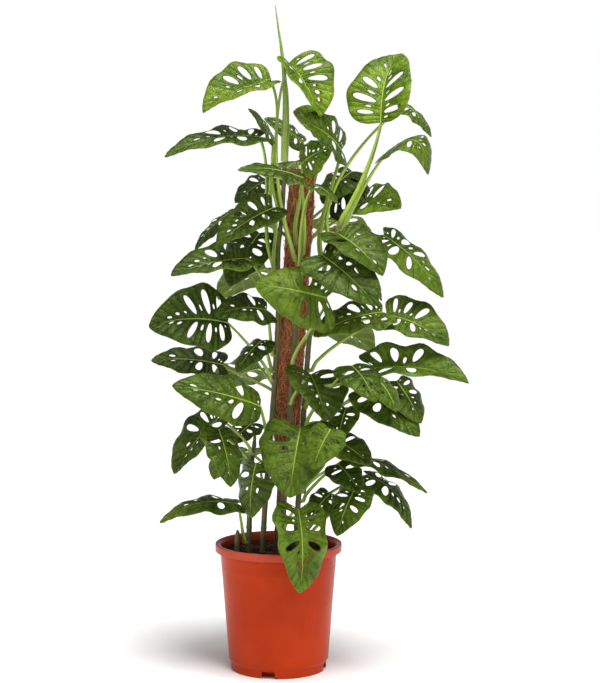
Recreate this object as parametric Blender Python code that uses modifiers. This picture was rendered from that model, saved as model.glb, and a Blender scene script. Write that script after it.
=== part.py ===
"""A Swiss cheese vine climbing a coir pole in a round plastic nursery pot.

Metres, +Z up. The origin is the middle of the pot's underside, the plant's front looks along -Y.
Every leaf is one solid, its blade and its stalk together, and starts on the skin of the stem that bears it.
"""

import math

import bmesh
import bpy
from mathutils import Euler, Vector
from mathutils.geometry import delaunay_2d_cdt

MM = 0.001
CLEAR = 0.3 * MM  # what lies against its neighbour keeps this much air

# Nursery pot
RIM_RADIUS = 120 * MM
RIM_DROP = 14 * MM
RIM_OVERHANG = 8.5 * MM
POT_HEIGHT = 240 * MM
WALL = 2 * MM
FOOT_RADIUS = 90 * MM
FOOT_HEIGHT = 18 * MM
FOOT_FLARE = 4.5 * MM  # the wall starts this much outside the foot ring
WELL_RADIUS = 71 * MM
POT_SIDES = 24
NOTCH_WIDTH = 25 * MM
NOTCH_HEIGHT = 13 * MM
NOTCH_DEPTH = 8 * MM
NOTCH_TURNS = (-102, -12, 78, 168)

# Soil and pole
SOIL_TOP = 226 * MM
SOIL_HOLE_BOTTOM = 190 * MM
SOIL_HOLE_SIDES = 10
STAKE_RADIUS = 10 * MM
STAKE_SIDES = 10
SLEEVE_RADIUS = 25 * MM
SLEEVE_SIDES = 14
SLEEVE_LUMPS = (0.9, 1.0, 0.96, 1.02, 0.95, 1.0, 0.9)
POLE_BOTTOM = 60 * MM
SLEEVE_BOTTOM = 432 * MM
POLE_TOP = 944 * MM
POLE_LEAN = math.atan2(46, 944 - 226)  # towards +X, starting at the soil

# Stems: radius, then the points that each one climbs through, in millimetres
STEM_RADIUS = 5.5 * MM
STEM_ROUTES = {
    "stem_left": [(-30, -26, 190), (-30, -26, 232), (-24, -31, 330), (-15, -31, 440),
                  (-6, -28, 560), (0, -27, 680), (0, -30, 790), (8, -27, 870), (12, -25, 957)],
    "stem_front": [(4, -38, 190), (4, -38, 232), (10, -37, 330), (19, -34, 440),
                   (27, -34, 580), (35, -34, 700), (44, -35, 826)],
    "stem_right": [(32, -10, 190), (32, -10, 232), (38, -15, 330), (45, -17, 440),
                   (54, -17, 580), (66, -20, 690), (86, -27, 760), (106, -34, 842)],
    "stem_back": [(4, 40, 190), (4, 40, 232), (10, 38, 330), (15, 33, 440),
                  (24, 33, 600), (34, 33, 760), (42, 34, 880)],
    "stem_young": [(-56, -22, 190), (-56, -22, 232), (-54, -24, 310), (-50, -22, 390), (-44, -18, 440)],
    "stem_stub": [(-78, -34, 190), (-78, -34, 232), (-76, -35, 272)],
}
STEM_TAPER = 0.75  # radius at the tip, in parts of the radius at the soil

# Rolled new leaf that stands on the tip of the left stem
SPIRE_ROUTE = [(12, -25, 957), (14, -23, 1015), (14, -21, 1075), (9, -16, 1146), (1, -12, 1201), (-5, -9, 1246)]
SPIRE_RADII = (5.6, 7.0, 5.4, 3.2, 1.8, 0.7)

# Leaf
BLADE = 0.85 * MM
STALK_START = 3.0 * MM
STALK_END = 1.9 * MM
THICK_STALKS = {"upper_shield": 5.2 * MM, "upper_right": 4.2 * MM, "crown_right": 3.6 * MM, "top_mid": 4.0 * MM,
                "crown_pale": 3.8 * MM, "crown_edge": 3.6 * MM, "crown_edge_right": 3.4 * MM}
STALK_SINK = 6 * MM  # how far the stalk runs on under the midrib
STALK_SQUARE = 4 * MM  # how far it leaves the stem squarely
STALK_PULL = 0.3  # how strongly both ends shape its curve, in parts of its reach
LOBE = 0.45  # how far the heart-shaped base reaches back past the joint
LOBES = {"upper_shield": 0.1, "centre_front": 0.85, "right_two": 0.8, "front_big": 0.6, "left_big": 0.15,
         "left_front": 0.1, "top_left": 0.2, "top_mid": 0.1}
HOLED = {1: (0.32, 0.50), 2: (0.24, 0.58), 3: (0.20, 0.64)}  # margin stretch that has so many holes
HOLE_CORNERS = 5
HOLE_HALF_LENGTH, HOLE_HALF_WIDTH = 0.29, 0.25
HOLE_MIDDLE = 0.47  # from the midrib 0 to the margin 1
TIP_PLACES = 3  # margin places past the last hole, the tip among them
LAST_VEIN_FOOT = 0.8
CURL = math.radians(14)  # how much the margin droops
WAVE, WAVES = 0.028, 2.6  # height in leaf lengths, and how many along a margin

# One row a leaf: name, stem, height on it, side that the stalk leaves from in degrees (None is
# towards the blade), joint and tip in mm, half width in mm, turn away from the front and fold in
# degrees, sideways bend and arch in leaf lengths, holes in each half
LEAVES = [
    ("top_left", "stem_left", 826, 200, (-12, -20, 1104), (-136, -60, 1046), 60, 51, 36, 0.06, 0.06, 3),
    ("top_mid", "stem_front", 775, 215, (20, -13, 1139), (77, -65, 1038), 62, 40, 46, 0, 0.08, 3),
    ("upper_left", "stem_left", 765, 190, (-34, -22, 1003), (-205, -80, 965), 50, 66, 16, 0.03, 0.08, 3),
    ("upper_left_edge", "stem_left", 871, 195, (-10, 26, 1000), (-56, 0, 1056), 40, 78, 10, 0, 0.05, 1),
    ("upper_shield", "stem_right", 838, 0, (190, -30, 1030), (224, 50, 1160), 68, 35, 28, 0, 0.12, 3),
    ("upper_right", "stem_right", 790, 25, (206, -20, 978), (276, -50, 934), 46, 55, 5, 0, 0.55, 3),
    ("upper_right_back", "stem_right", 812, 135, (238, 30, 1065), (286, 20, 1005), 36, 69, 3, 0, 0.1, 2),
    ("crown_right", "stem_right", 770, 150, (116, -30, 980), (37, -90, 1032), 52, 52, 21, 0, 0.1, 2),
    ("crown_pale", "stem_front", 790, -60, (45, -44, 956), (101, -70, 986), 36, 30, 0, 0, 0.1, 1),
    ("right_pale", "stem_back", 790, 30, (157, 36, 884), (227, -40, 872), 48, 44, 20, 0, 0.08, 2),
    ("mid_right_upper", "stem_right", 821, -115, (113, -88, 824), (188, -142, 752), 56, 50, 24, 0, 0.08, 1),
    ("mid_right_fold", "stem_right", 760, -90, (116, -50, 800), (190, -58, 702), 38, 70, 15, 0, 0.1, 2),
    ("far_right", "stem_back", 720, 20, (198, 10, 821), (308, -15, 706), 48, 53, 7, 0, 0.08, 3),
    ("mid_dark", "stem_front", 740, -70, (81, -115, 788), (178, -165, 700), 58, 35, 18, 0, 0.06, 1),
    ("centre_front", "stem_front", 575, -100, (88, -121, 712), (-40, -140, 737), 64, 26, -4, 0, 0.06, 2),
    ("right_one", "stem_right", 570, 0, (202, -20, 674), (316, -50, 618), 58, 52, 25, 0.05, 0.06, 3),
    ("right_two", "stem_right", 520, -20, (181, -44, 575), (349, -95, 553), 62, 62, 31, 0.05, 0.06, 3),
    ("mid_mottled", "stem_right", 640, -30, (192, -60, 681), (66, -110, 640), 50, 56, 14, 0, 0.08, 2),
    ("low_right_round", "stem_right", 464, -60, (135, -123, 588), (174, -186, 530), 42, 37, 4, 0, 0.1, 1),
    ("low_right_gloss", "stem_right", 501, -75, (176, -127, 568), (213, -162, 510), 40, 54, 0, 0, 0.1, 1),
    ("low_right_holes", "stem_right", 438, 15, (219, -74, 555), (262, -97, 480), 44, 48, 4, 0, 0.05, 2),
    ("low_right_tip", "stem_right", 430, -40, (161, -70, 539), (258, -115, 458), 52, 50, 8, 0, 0.06, 2),
    ("mid_holes", "stem_front", 510, -80, (60, -55, 565), (86, -130, 488), 62, 38, 25, 0, 0.06, 2),
    ("left_big", "stem_left", 552, -130, (-94, -33, 660), (-238, -60, 655), 66, 26, 26, 0.06, 0.05, 3),
    ("left_behind", "stem_back", 500, 150, (-108, 35, 575), (-241, 20, 584), 52, 61, 11, 0, 0.06, 2),
    ("left_front", "stem_left", 430, None, (-33, -90, 511), (-190, -140, 554), 52, 43, 5, 0, 0.06, 1),
    ("left_dark", "stem_left", 600, None, (-22, -45, 684), (-114, -85, 676), 46, 54, 13, 0.05, 0.08, 1),
    ("left_hanging", "stem_left", 570, None, (-30, -40, 627), (-75, -75, 572), 40, 59, 3, 0, 0.06, 1),
    ("low_left_outer", "stem_young", 412, 250, (-113, -14, 478), (-194, -40, 377), 54, 56, 25, 0, 0.06, 2),
    ("low_left_mid", "stem_young", 394, None, (-108, -100, 468), (-86, -142, 370), 46, 50, 8, 0, 0.06, 1),
    ("low_left_inner", "stem_young", 430, 90, (-50, 18, 465), (-91, -10, 426), 38, 57, 10, 0, 0.06, 2),
    ("soil_left", "stem_young", 245, None, (-79, -35, 320), (-220, -65, 289), 44, 76, 6, 0.04, 0.12, 1),
    ("low_centre", "stem_left", 330, None, (-40, -71, 402), (-50, -90, 303), 52, 45, 0, 0, 0.06, 1),
    ("front_big", "stem_front", 410, None, (41, -107, 471), (23, -175, 356), 70, 15, 15, 0, 0.06, 1),
    ("front_low", "stem_front", 260, None, (37, -125, 325), (40, -160, 179), 56, 33, 16, 0, 0.08, 3),
    ("low_right_long", "stem_right", 322, 10, (135, -20, 410), (278, -50, 342), 40, 80, 6, 0, 0.08, 2),
    ("low_right_drop", "stem_right", 280, 30, (167, -10, 370), (250, -25, 271), 42, 65, 1, 0.1, 0.12, 2),
    ("low_right_small", "stem_right", 370, -60, (105, -70, 444), (168, -110, 405), 44, 55, 12, 0, 0.08, 1),
    ("low_right_dark", "stem_right", 340, -20, (112, -60, 398), (150, -88, 350), 38, 45, 8, 0, 0.08, 1),
    ("low_right_cut", "stem_right", 229, -40, (145, -65, 357), (109, -100, 272), 44, 42, 3, 0, 0.06, 3),
    ("crown_edge", "stem_front", 805, 200, (41, -96, 929), (-71, -118, 941), 46, 72, 9, 0, 0.08, 2),
    ("crown_edge_right", "stem_front", 768, -85, (66, -84, 915), (108, -100, 881), 34, 74, 8, 0, 0.1, 1),
    ("low_mid_small", "stem_right", 400, -60, (126, -70, 505), (112, -95, 447), 34, 40, 10, 0, 0.06, 1),
    ("front_pale", "stem_front", 350, -60, (94, -185, 480), (64, -200, 412), 38, 30, 8, 0, 0.08, 1),
    ("soil_back", "stem_right", 240, -50, (97, -30, 338), (59, -50, 289), 36, 45, 6, 0, 0.08, 1),
    ("upper_left_dark", "stem_left", 860, 150, (-12, 26, 929), (-80, 0, 882), 40, 54, 12, 0, 0.06, 2),
    ("upper_left_mid", "stem_left", 740, 220, (-9, -58, 873), (-110, -95, 806), 50, 49, 22, 0, 0.06, 3),
    ("upper_left_narrow", "stem_back", 800, 160, (-87, 30, 865), (-156, 10, 794), 36, 68, 4, 0, 0.08, 2),
    ("mid_left", "stem_left", 700, None, (-53, -55, 780), (-194, -95, 750), 54, 59, 25, 0, 0.06, 3),
]

# The same for the leaves that are one body with the back stem
BACK_LEAVES = [
    ("crown_top", "stem_back", 868, 0, (82, 10, 1027), (28, -10, 1050), 34, 40, 10, 0, 0.1, 1),
    ("crown_dark", "stem_back", 810, 0, (139, 40, 940), (84, 10, 880), 46, 50, 8, 0, 0.08, 1),
    ("right_dark", "stem_back", 830, 20, (105, 40, 890), (172, 10, 905), 50, 40, 10, 0, 0.08, 2),
    ("mid_left_dark", "stem_back", 700, 170, (-36, 20, 825), (-92, -15, 727), 52, 36, 9, 0, 0.06, 2),
    ("upper_back_left", "stem_back", 860, 90, (46, 70, 996), (-27, 50, 1040), 44, 66, 9, 0, 0.05, 1),
    ("back_one", "stem_back", 570, 70, (85, 105, 650), (185, 185, 585), 58, 130, 15, 0, 0.08, 1),
    ("back_two", "stem_back", 480, 120, (-35, 120, 560), (-140, 190, 500), 58, 130, 15, 0, 0.08, 2),
    ("back_three", "stem_back", 680, 120, (-25, 115, 755), (-120, 180, 690), 55, 130, 15, 0, 0.08, 1),
    ("back_four", "stem_back", 770, 60, (95, 105, 850), (175, 185, 790), 52, 130, 15, 0, 0.08, 2),
    ("back_five", "stem_back", 400, 80, (55, 130, 450), (115, 210, 370), 56, 130, 15, 0, 0.08, 2),
    ("back_six", "stem_back", 330, 110, (-60, 110, 400), (-130, 185, 330), 52, 130, 15, 0, 0.08, 1),
    ("back_seven", "stem_back", 850, 100, (35, 105, 960), (5, 190, 930), 46, 120, 15, 0, 0.08, 1),
]

# Colours
LEAF_GREEN = (0.060, 0.165, 0.022)
STEM_GREEN = (0.190, 0.330, 0.080)
SPIRE_GREEN = (0.230, 0.420, 0.090)
POT_ORANGE = (0.560, 0.085, 0.030)
SOIL_BROWN = (0.035, 0.018, 0.014)
STAKE_BROWN = (0.130, 0.040, 0.020)
COIR_BROWN = (0.300, 0.110, 0.045)


def clear_scene():
    for old in list(bpy.data.objects):
        bpy.data.objects.remove(old)


def new_collection(name):
    made = bpy.data.collections.new(name)
    bpy.context.scene.collection.children.link(made)
    return made


def material(name, color, roughness):
    made = bpy.data.materials.new(name)
    made.use_nodes = True
    shader = made.node_tree.nodes["Principled BSDF"]
    shader.inputs["Base Color"].default_value = (*color, 1)
    shader.inputs["Roughness"].default_value = roughness
    shader.inputs["Metallic"].default_value = 0
    return made


def add_object(name, data, collection, finish=None):
    made = bpy.data.objects.new(name, data)
    collection.objects.link(made)
    if finish:
        data.materials.append(finish)
    return made


def add_boolean(target, operation, **operand):
    cut = target.modifiers.new(operation.lower(), "BOOLEAN")
    cut.operation = operation
    cut.solver = "EXACT"
    for key, value in operand.items():
        setattr(cut, key, value)
    return cut


def turned(name, profile, sides, collection, finish, ring=False):
    """A profile of (radius, height) points turned about Z, a ring's last point joined to its first."""
    mesh = bpy.data.meshes.new(name)
    edges = [(i, i + 1) for i in range(len(profile) - 1)]
    if ring:
        edges.append((len(profile) - 1, 0))
    mesh.from_pydata([(r, 0, z) for r, z in profile], edges, [])
    made = add_object(name, mesh, collection, finish)
    screw = made.modifiers.new("turn", "SCREW")
    screw.steps = sides
    screw.render_steps = sides
    screw.use_merge_vertices = True
    screw.merge_threshold = 0.0001
    screw.use_smooth_shade = True
    return made


def smooth_route(points, steps):
    """A Catmull-Rom curve through the points, each span cut in the given number of steps."""
    ends = [points[0] * 2 - points[1]] + points + [points[-1] * 2 - points[-2]]
    route = []
    for i in range(1, len(ends) - 2):
        a, b, c, d = ends[i - 1:i + 3]
        for k in range(steps):
            t = k / steps
            route.append(0.5 * (2 * b + (c - a) * t + (2 * a - 5 * b + 4 * c - d) * t * t
                                + (3 * b - a - 3 * c + d) * t ** 3))
    return route + [points[-1]]


def tube_mesh(name, route, radii, resolution):
    """A round bar along the route as a closed mesh."""
    curve = bpy.data.curves.new(name, "CURVE")
    curve.dimensions = "3D"
    curve.bevel_depth = 1
    curve.bevel_resolution = resolution
    curve.use_fill_caps = True
    spline = curve.splines.new("POLY")
    spline.points.add(len(route) - 1)
    for point, place, radius in zip(spline.points, route, radii):
        point.co = (*place, 1)
        point.radius = radius
    holder = bpy.data.objects.new(name, curve)
    bpy.context.scene.collection.objects.link(holder)
    evaluated = holder.evaluated_get(bpy.context.evaluated_depsgraph_get())
    mesh = bpy.data.meshes.new_from_object(evaluated)
    bpy.data.objects.remove(holder)
    body = bmesh.new()
    body.from_mesh(mesh)
    bmesh.ops.remove_doubles(body, verts=body.verts, dist=0.00002)
    bmesh.ops.recalc_face_normals(body, faces=body.faces)
    body.to_mesh(mesh)
    body.free()
    mesh.shade_smooth()
    return mesh


def pot_profile():
    """Inside from the middle of the floor, over the rim, down the outside and under the foot."""
    neck = RIM_RADIUS - RIM_OVERHANG
    foot_top = FOOT_RADIUS + FOOT_FLARE
    return [
        (0, WALL),
        (WELL_RADIUS - 1 * MM, WALL),
        (WELL_RADIUS + 2 * MM, FOOT_HEIGHT),
        (FOOT_RADIUS + 1 * MM, FOOT_HEIGHT),
        (foot_top - WALL, FOOT_HEIGHT + 4 * MM),
        (neck - WALL, POT_HEIGHT - 2 * MM),
        (neck, POT_HEIGHT),
        (RIM_RADIUS - 1.5 * MM, POT_HEIGHT),
        (RIM_RADIUS, POT_HEIGHT - 1.5 * MM),
        (RIM_RADIUS, POT_HEIGHT - RIM_DROP),
        (RIM_RADIUS - WALL, POT_HEIGHT - RIM_DROP),
        (RIM_RADIUS - WALL, POT_HEIGHT - 3 * MM),
        (neck, POT_HEIGHT - 3 * MM),
        (foot_top, FOOT_HEIGHT + 2 * MM),
        (FOOT_RADIUS + 1.5 * MM, FOOT_HEIGHT - 1 * MM),
        (FOOT_RADIUS, 0),
        (FOOT_RADIUS - WALL, 0),
        (FOOT_RADIUS - 1 * MM, FOOT_HEIGHT - WALL),
        (WELL_RADIUS + 3 * MM, FOOT_HEIGHT - WALL),
        (WELL_RADIUS, 0),
        (0, 0),
    ]


def add_pot(parts, cutters):
    """Rim with a hanging band, tapered wall, foot ring with four drain notches, floor on the table."""
    pot = turned("pot", pot_profile(), POT_SIDES, parts, material("pot_plastic", POT_ORANGE, 0.42))
    for index, turn in enumerate(NOTCH_TURNS):
        angle = math.radians(turn)
        bpy.ops.mesh.primitive_cube_add(size=1)
        notch = bpy.context.object
        notch.name = f"notch_{index}"
        notch.scale = (NOTCH_DEPTH, NOTCH_WIDTH, 2 * NOTCH_HEIGHT)
        notch.location = (FOOT_RADIUS * math.cos(angle), FOOT_RADIUS * math.sin(angle), 0)
        notch.rotation_euler = Euler((0, 0, angle))
        make_cutter(notch, cutters)
    add_boolean(pot, "DIFFERENCE", operand_type="COLLECTION", collection=cutters)


def make_cutter(made, cutters):
    for holder in list(made.users_collection):
        holder.objects.unlink(made)
    cutters.objects.link(made)
    made.hide_render = True
    made.display_type = "WIRE"


def inner_wall(height):
    """Radius of the pot's inside at a height above the foot."""
    low, high = FOOT_HEIGHT + 4 * MM, POT_HEIGHT - 2 * MM
    low_radius = FOOT_RADIUS + FOOT_FLARE - WALL
    high_radius = RIM_RADIUS - RIM_OVERHANG - WALL
    return low_radius + (high_radius - low_radius) * (height - low) / (high - low)


def add_soil(parts, cutters):
    """Potting soil that fills the pot, with a plain hole for the pole and one for each stem."""
    profile = [
        (0, SOIL_TOP),
        (inner_wall(SOIL_TOP - 3 * MM) - CLEAR, SOIL_TOP - 3 * MM),
        (inner_wall(FOOT_HEIGHT + 4 * MM) - 2 * CLEAR, FOOT_HEIGHT + 4 * MM + 2 * CLEAR),
        (FOOT_RADIUS, FOOT_HEIGHT + CLEAR),
        (WELL_RADIUS + 1.5 * MM, FOOT_HEIGHT + CLEAR),
        (WELL_RADIUS - 1.5 * MM, WALL + CLEAR),
        (0, WALL + CLEAR),
    ]
    soil = turned("soil", profile, POT_SIDES, parts, material("soil", SOIL_BROWN, 0.95))
    for name, route in STEM_ROUTES.items():
        x, y, _ = route[0]
        add_hole(f"hole_{name}", (x * MM, y * MM), STEM_RADIUS, SOIL_HOLE_BOTTOM - CLEAR, cutters, 0)
    add_hole("hole_pole", (0, 0), STAKE_RADIUS, POLE_BOTTOM - CLEAR, cutters, POLE_LEAN)
    add_boolean(soil, "DIFFERENCE", operand_type="COLLECTION", collection=cutters)


def add_hole(name, place, radius, bottom, cutters, lean):
    """A round cutter from the given height up through the soil, leaning as the pole does."""
    height = POT_HEIGHT - bottom
    outer = (radius + CLEAR) / math.cos(math.pi / SOIL_HOLE_SIDES)
    bpy.ops.mesh.primitive_cylinder_add(vertices=SOIL_HOLE_SIDES, radius=outer, depth=height)
    hole = bpy.context.object
    hole.name = name
    hole.rotation_euler = Euler((0, lean, 0))
    middle = (bottom + POT_HEIGHT) / 2
    hole.location = (place[0] + math.tan(lean) * (middle - SOIL_TOP), place[1], middle)
    make_cutter(hole, cutters)


def lean_on_soil(made):
    """Tips what was turned about Z over the point where the pole leaves the soil."""
    made.rotation_euler = Euler((0, POLE_LEAN, 0))
    made.location = (-math.sin(POLE_LEAN) * SOIL_TOP, 0, SOIL_TOP * (1 - math.cos(POLE_LEAN)))


def add_pole(parts):
    """A stake that stands in the soil and a sleeve of coir around its upper part."""
    stake_profile = [(0, POLE_TOP + 3 * MM), (STAKE_RADIUS - 1.5 * MM, POLE_TOP + 3 * MM),
                     (STAKE_RADIUS, POLE_TOP + 1.5 * MM), (STAKE_RADIUS, POLE_BOTTOM), (0, POLE_BOTTOM)]
    stake = turned("pole_stake", stake_profile, STAKE_SIDES, parts,
                   material("stake_wood", STAKE_BROWN, 0.8))
    lean_on_soil(stake)
    bore = (STAKE_RADIUS + CLEAR) / math.cos(math.pi / SLEEVE_SIDES)
    count = len(SLEEVE_LUMPS) - 1
    skin = [(SLEEVE_RADIUS * lump, POLE_TOP + (SLEEVE_BOTTOM - POLE_TOP) * k / count)
            for k, lump in enumerate(SLEEVE_LUMPS)]
    profile = [(bore, SLEEVE_BOTTOM), (bore, POLE_TOP)] + skin
    sleeve = turned("pole_sleeve", profile, SLEEVE_SIDES, parts, material("coir", COIR_BROWN, 0.95), True)
    lean_on_soil(sleeve)


def stem_route(name):
    """Straight in the soil, then a smooth curve."""
    points = [Vector(point) * MM for point in STEM_ROUTES[name]]
    return points[:1] + smooth_route(points[1:], 1)


def stem_radius(name, height):
    """Stems thin slightly towards their tips."""
    route = STEM_ROUTES[name]
    share = (height / MM - route[0][2]) / (route[-1][2] - route[0][2])
    return STEM_RADIUS * (1 - (1 - STEM_TAPER) * max(0, min(1, share)) ** 2)


def add_stems(parts):
    finish = material("stem_green", STEM_GREEN, 0.5)
    for name in STEM_ROUTES:
        route = stem_route(name)
        radii = [stem_radius(name, point.z) for point in route]
        add_object(name, tube_mesh(name, route, radii, 2), parts, finish)


def add_spire(parts):
    """The newest leaf, still rolled to a spike on the left stem's tip."""
    first = Vector(SPIRE_ROUTE[0]) * MM
    up = (Vector(SPIRE_ROUTE[1]) - Vector(SPIRE_ROUTE[0])).normalized()
    points = [first + up * 2 * CLEAR] + [Vector(point) * MM for point in SPIRE_ROUTE[1:]]
    radii = [radius * MM for radius in SPIRE_RADII]
    add_object("rolled_leaf", tube_mesh("rolled_leaf", points, radii, 1), parts,
               material("spire_green", SPIRE_GREEN, 0.45))


def margin(t, lobe):
    """Half a heart-shaped outline, t from 0 at the joint to 1 at the tip: along and out in parts of 1."""
    swell = math.sin(math.pi * t)
    skew = 0.25 if lobe > 0 else -0.2
    along = (1 - math.cos(math.pi * t)) / 2 - lobe * swell * (1 - t) ** 2
    out = swell ** (0.75 + 0.5 * t) * (1 + skew * math.cos(math.pi * t)) * (1 - 0.4 * t ** 3)
    return along, out


def on_vein(t, share, lobe):
    """A point of the flat leaf on the vein to margin place t, share 0 at the midrib."""
    foot = t ** 1.75
    along, out = margin(t, lobe)
    return foot + (along - foot) * share, out * share


def hole_loop(start, end, lobe):
    """The corners of an oval hole between the veins at start and end."""
    loop = []
    for k in range(HOLE_CORNERS):
        angle = -math.tau * k / HOLE_CORNERS
        t = start + (end - start) * (0.5 + HOLE_HALF_WIDTH * math.sin(angle))
        loop.append(on_vein(t, HOLE_MIDDLE + HOLE_HALF_LENGTH * math.cos(angle), lobe))
    return loop


def half_plan(holes, lobe):
    """Triangles of half the flat leaf, its holes left open."""
    first, last = HOLED[holes]
    step = (last - first) / holes
    veins = [first + step * k for k in range(holes + 1)]
    tip = [last + (1 - last) * (k + 1) / TIP_PLACES for k in range(TIP_PLACES)]
    places = [0, first / 2] + veins + tip
    outer = [on_vein(t, 1, lobe) for t in places[1:-1]]
    inner = [on_vein(t, 0, lobe) for t in veins + [LAST_VEIN_FOOT]]
    points = [(0, 0)] + inner + [(1, 0)] + outer[::-1]
    faces = [list(range(len(points)))]
    for k in range(holes):
        loop = hole_loop(veins[k], veins[k + 1], lobe)
        faces.append(list(range(len(points), len(points) + len(loop))))
        points += loop
    flat, _, triangles, _, _, origins = delaunay_2d_cdt([Vector(p) for p in points], [], faces, 1, 1e-6)
    kept = [face for face, origin in zip(triangles, origins) if origin == [0]]
    return flat, kept


def blade_frame(leaf):
    """The leaf's length, the way its midrib runs, its upper side's normal and its side way."""
    joint, tip, turn = Vector(leaf[4]) * MM, Vector(leaf[5]) * MM, math.radians(leaf[7])
    run = (tip - joint).normalized()
    front = Vector((0, -1, 0))
    front = (front - run * front.dot(run)).normalized()
    rise = front.cross(run) * (1 if run.x > 0 else -1)
    normal = front * math.cos(turn) + rise * math.sin(turn)
    return joint, (tip - joint).length, run, normal, normal.cross(run)


def blade_point(leaf, frame, along, out):
    """Where a point of the flat leaf lies in space: arched, bent, folded along the midrib and waved."""
    joint, length, run, normal, side = frame
    half, fold, bend, arch = leaf[6] * MM, math.radians(leaf[8]), leaf[9], leaf[10]
    bow = 4 * along * (1 - along)
    slope = 4 * (1 - 2 * along)
    sense = 1 if run.x > 0 else -1
    spine = joint + length * (run * along + normal * arch * bow + side * sense * bend * bow)
    lift = (normal - run * arch * slope).normalized()
    angle = fold - CURL * abs(out)
    wave = WAVE * length * out * out * math.sin(math.tau * WAVES * along + (1 if out > 0 else 3))
    reach = side * (out * half * math.cos(angle)) + lift * (abs(out) * half * math.sin(angle) + wave)
    return spine + reach


def blade_mesh(leaf):
    frame = blade_frame(leaf)
    flat, triangles = half_plan(leaf[11], LOBES.get(leaf[0], LOBE))
    body = bmesh.new()
    for sign in (1, -1):
        verts = [body.verts.new(blade_point(leaf, frame, x, y * sign)) for x, y in flat]
        for triangle in triangles:
            ring = triangle if sign == 1 else triangle[::-1]
            body.faces.new([verts[i] for i in ring])
    bmesh.ops.remove_doubles(body, verts=body.verts, dist=0.0001)
    mesh = bpy.data.meshes.new(leaf[0])
    body.to_mesh(mesh)
    body.free()
    mesh.shade_smooth()
    return mesh


def stalk_route(leaf, sunk):
    """From the stem's skin, or its core if sunk, in a rising curve to the joint and on along the midrib."""
    name, stem, height, side_turn = leaf[:4]
    joint, _, run, normal, _ = blade_frame(leaf)
    route = stem_route(stem)
    upper = next((k for k, point in enumerate(route) if point.z >= height * MM), len(route) - 1)
    low, high = route[upper - 1], route[upper]
    foot = low.lerp(high, (height * MM - low.z) / (high.z - low.z))
    away = joint - foot
    azimuth = math.atan2(away.y, away.x) if side_turn is None else math.radians(side_turn)
    climb = (high - low).normalized()
    outward = Vector((math.cos(azimuth), math.sin(azimuth), 0))
    outward = (outward - climb * outward.dot(climb)).normalized()
    start = foot + outward * (stem_radius(stem, height * MM) + 1.2 * CLEAR)
    reach = (joint - start).length
    arriving = (run * 0.5 + normal * 0.5 + (joint - start).normalized()).normalized()
    first = start + (outward * 0.5 + Vector((0, 0, 0.8))) * reach * STALK_PULL
    second = joint - arriving * reach * STALK_PULL
    points = [start, start + outward * STALK_SQUARE]
    for k in range(1, 4):
        t = k / 3
        points.append(start * (1 - t) ** 3 + 3 * first * t * (1 - t) ** 2
                      + 3 * second * t * t * (1 - t) + joint * t ** 3)
    if sunk:
        points[0] = foot
    return points + [joint + run * STALK_SINK]


def add_blade(leaf, collection, finish):
    """Blade with its holes, a sheet of even thickness."""
    blade = add_object(f"leaf_{leaf[0]}", blade_mesh(leaf), collection, finish)
    thick = blade.modifiers.new("thickness", "SOLIDIFY")
    thick.thickness = BLADE
    thick.offset = 0
    return blade


def add_stalk(leaf, collection, sunk):
    """The leaf's stalk as a body of its own, which a Boolean joins to what it grows from."""
    route = stalk_route(leaf, sunk)
    foot_radius = THICK_STALKS.get(leaf[0], STALK_START)
    radii = [foot_radius + (STALK_END - foot_radius) * k / (len(route) - 1) for k in range(len(route))]
    stalk = add_object(f"stalk_{leaf[0]}", tube_mesh(f"stalk_{leaf[0]}", route, radii, 0), collection)
    stalk.hide_render = True
    stalk.display_type = "WIRE"
    return stalk


def add_leaf(leaf, parts, stalks, finish):
    """Blade and stalk as one body."""
    blade = add_blade(leaf, parts, finish)
    add_boolean(blade, "UNION", object=add_stalk(leaf, stalks, False))


def add_back_shoot(parts, finish):
    """The stem behind the pole with the leaves that grow on it, all one body."""
    growth = new_collection("back_growth")
    for leaf in BACK_LEAVES:
        add_blade(leaf, growth, finish)
        add_stalk(leaf, growth, True)
    shoot = bpy.data.objects["stem_back"]
    add_boolean(shoot, "UNION", operand_type="COLLECTION", collection=growth)
    bpy.context.view_layer.update()
    evaluated = shoot.evaluated_get(bpy.context.evaluated_depsgraph_get())
    joined = bpy.data.meshes.new_from_object(evaluated)
    shoot.modifiers.clear()
    shoot.data = joined
    for grown in list(growth.objects):
        bpy.data.objects.remove(grown)


def main():
    clear_scene()
    parts = new_collection("monstera_adansonii")
    notches = new_collection("pot_cutters")
    holes = new_collection("soil_cutters")
    stalks = new_collection("leaf_stalks")
    add_pot(parts, notches)
    add_soil(parts, holes)
    add_pole(parts)
    add_stems(parts)
    add_spire(parts)
    green = material("leaf_green", LEAF_GREEN, 0.4)
    add_back_shoot(parts, green)
    for leaf in LEAVES:
        add_leaf(leaf, parts, stalks, green)


main()
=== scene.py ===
"""A Swiss cheese vine on a coir pole in a round nursery pot, dressed over its CAD frame.

Metres, +Z up. The pot stands on the origin and the plant's front looks along -Y.
"""

import math

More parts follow.
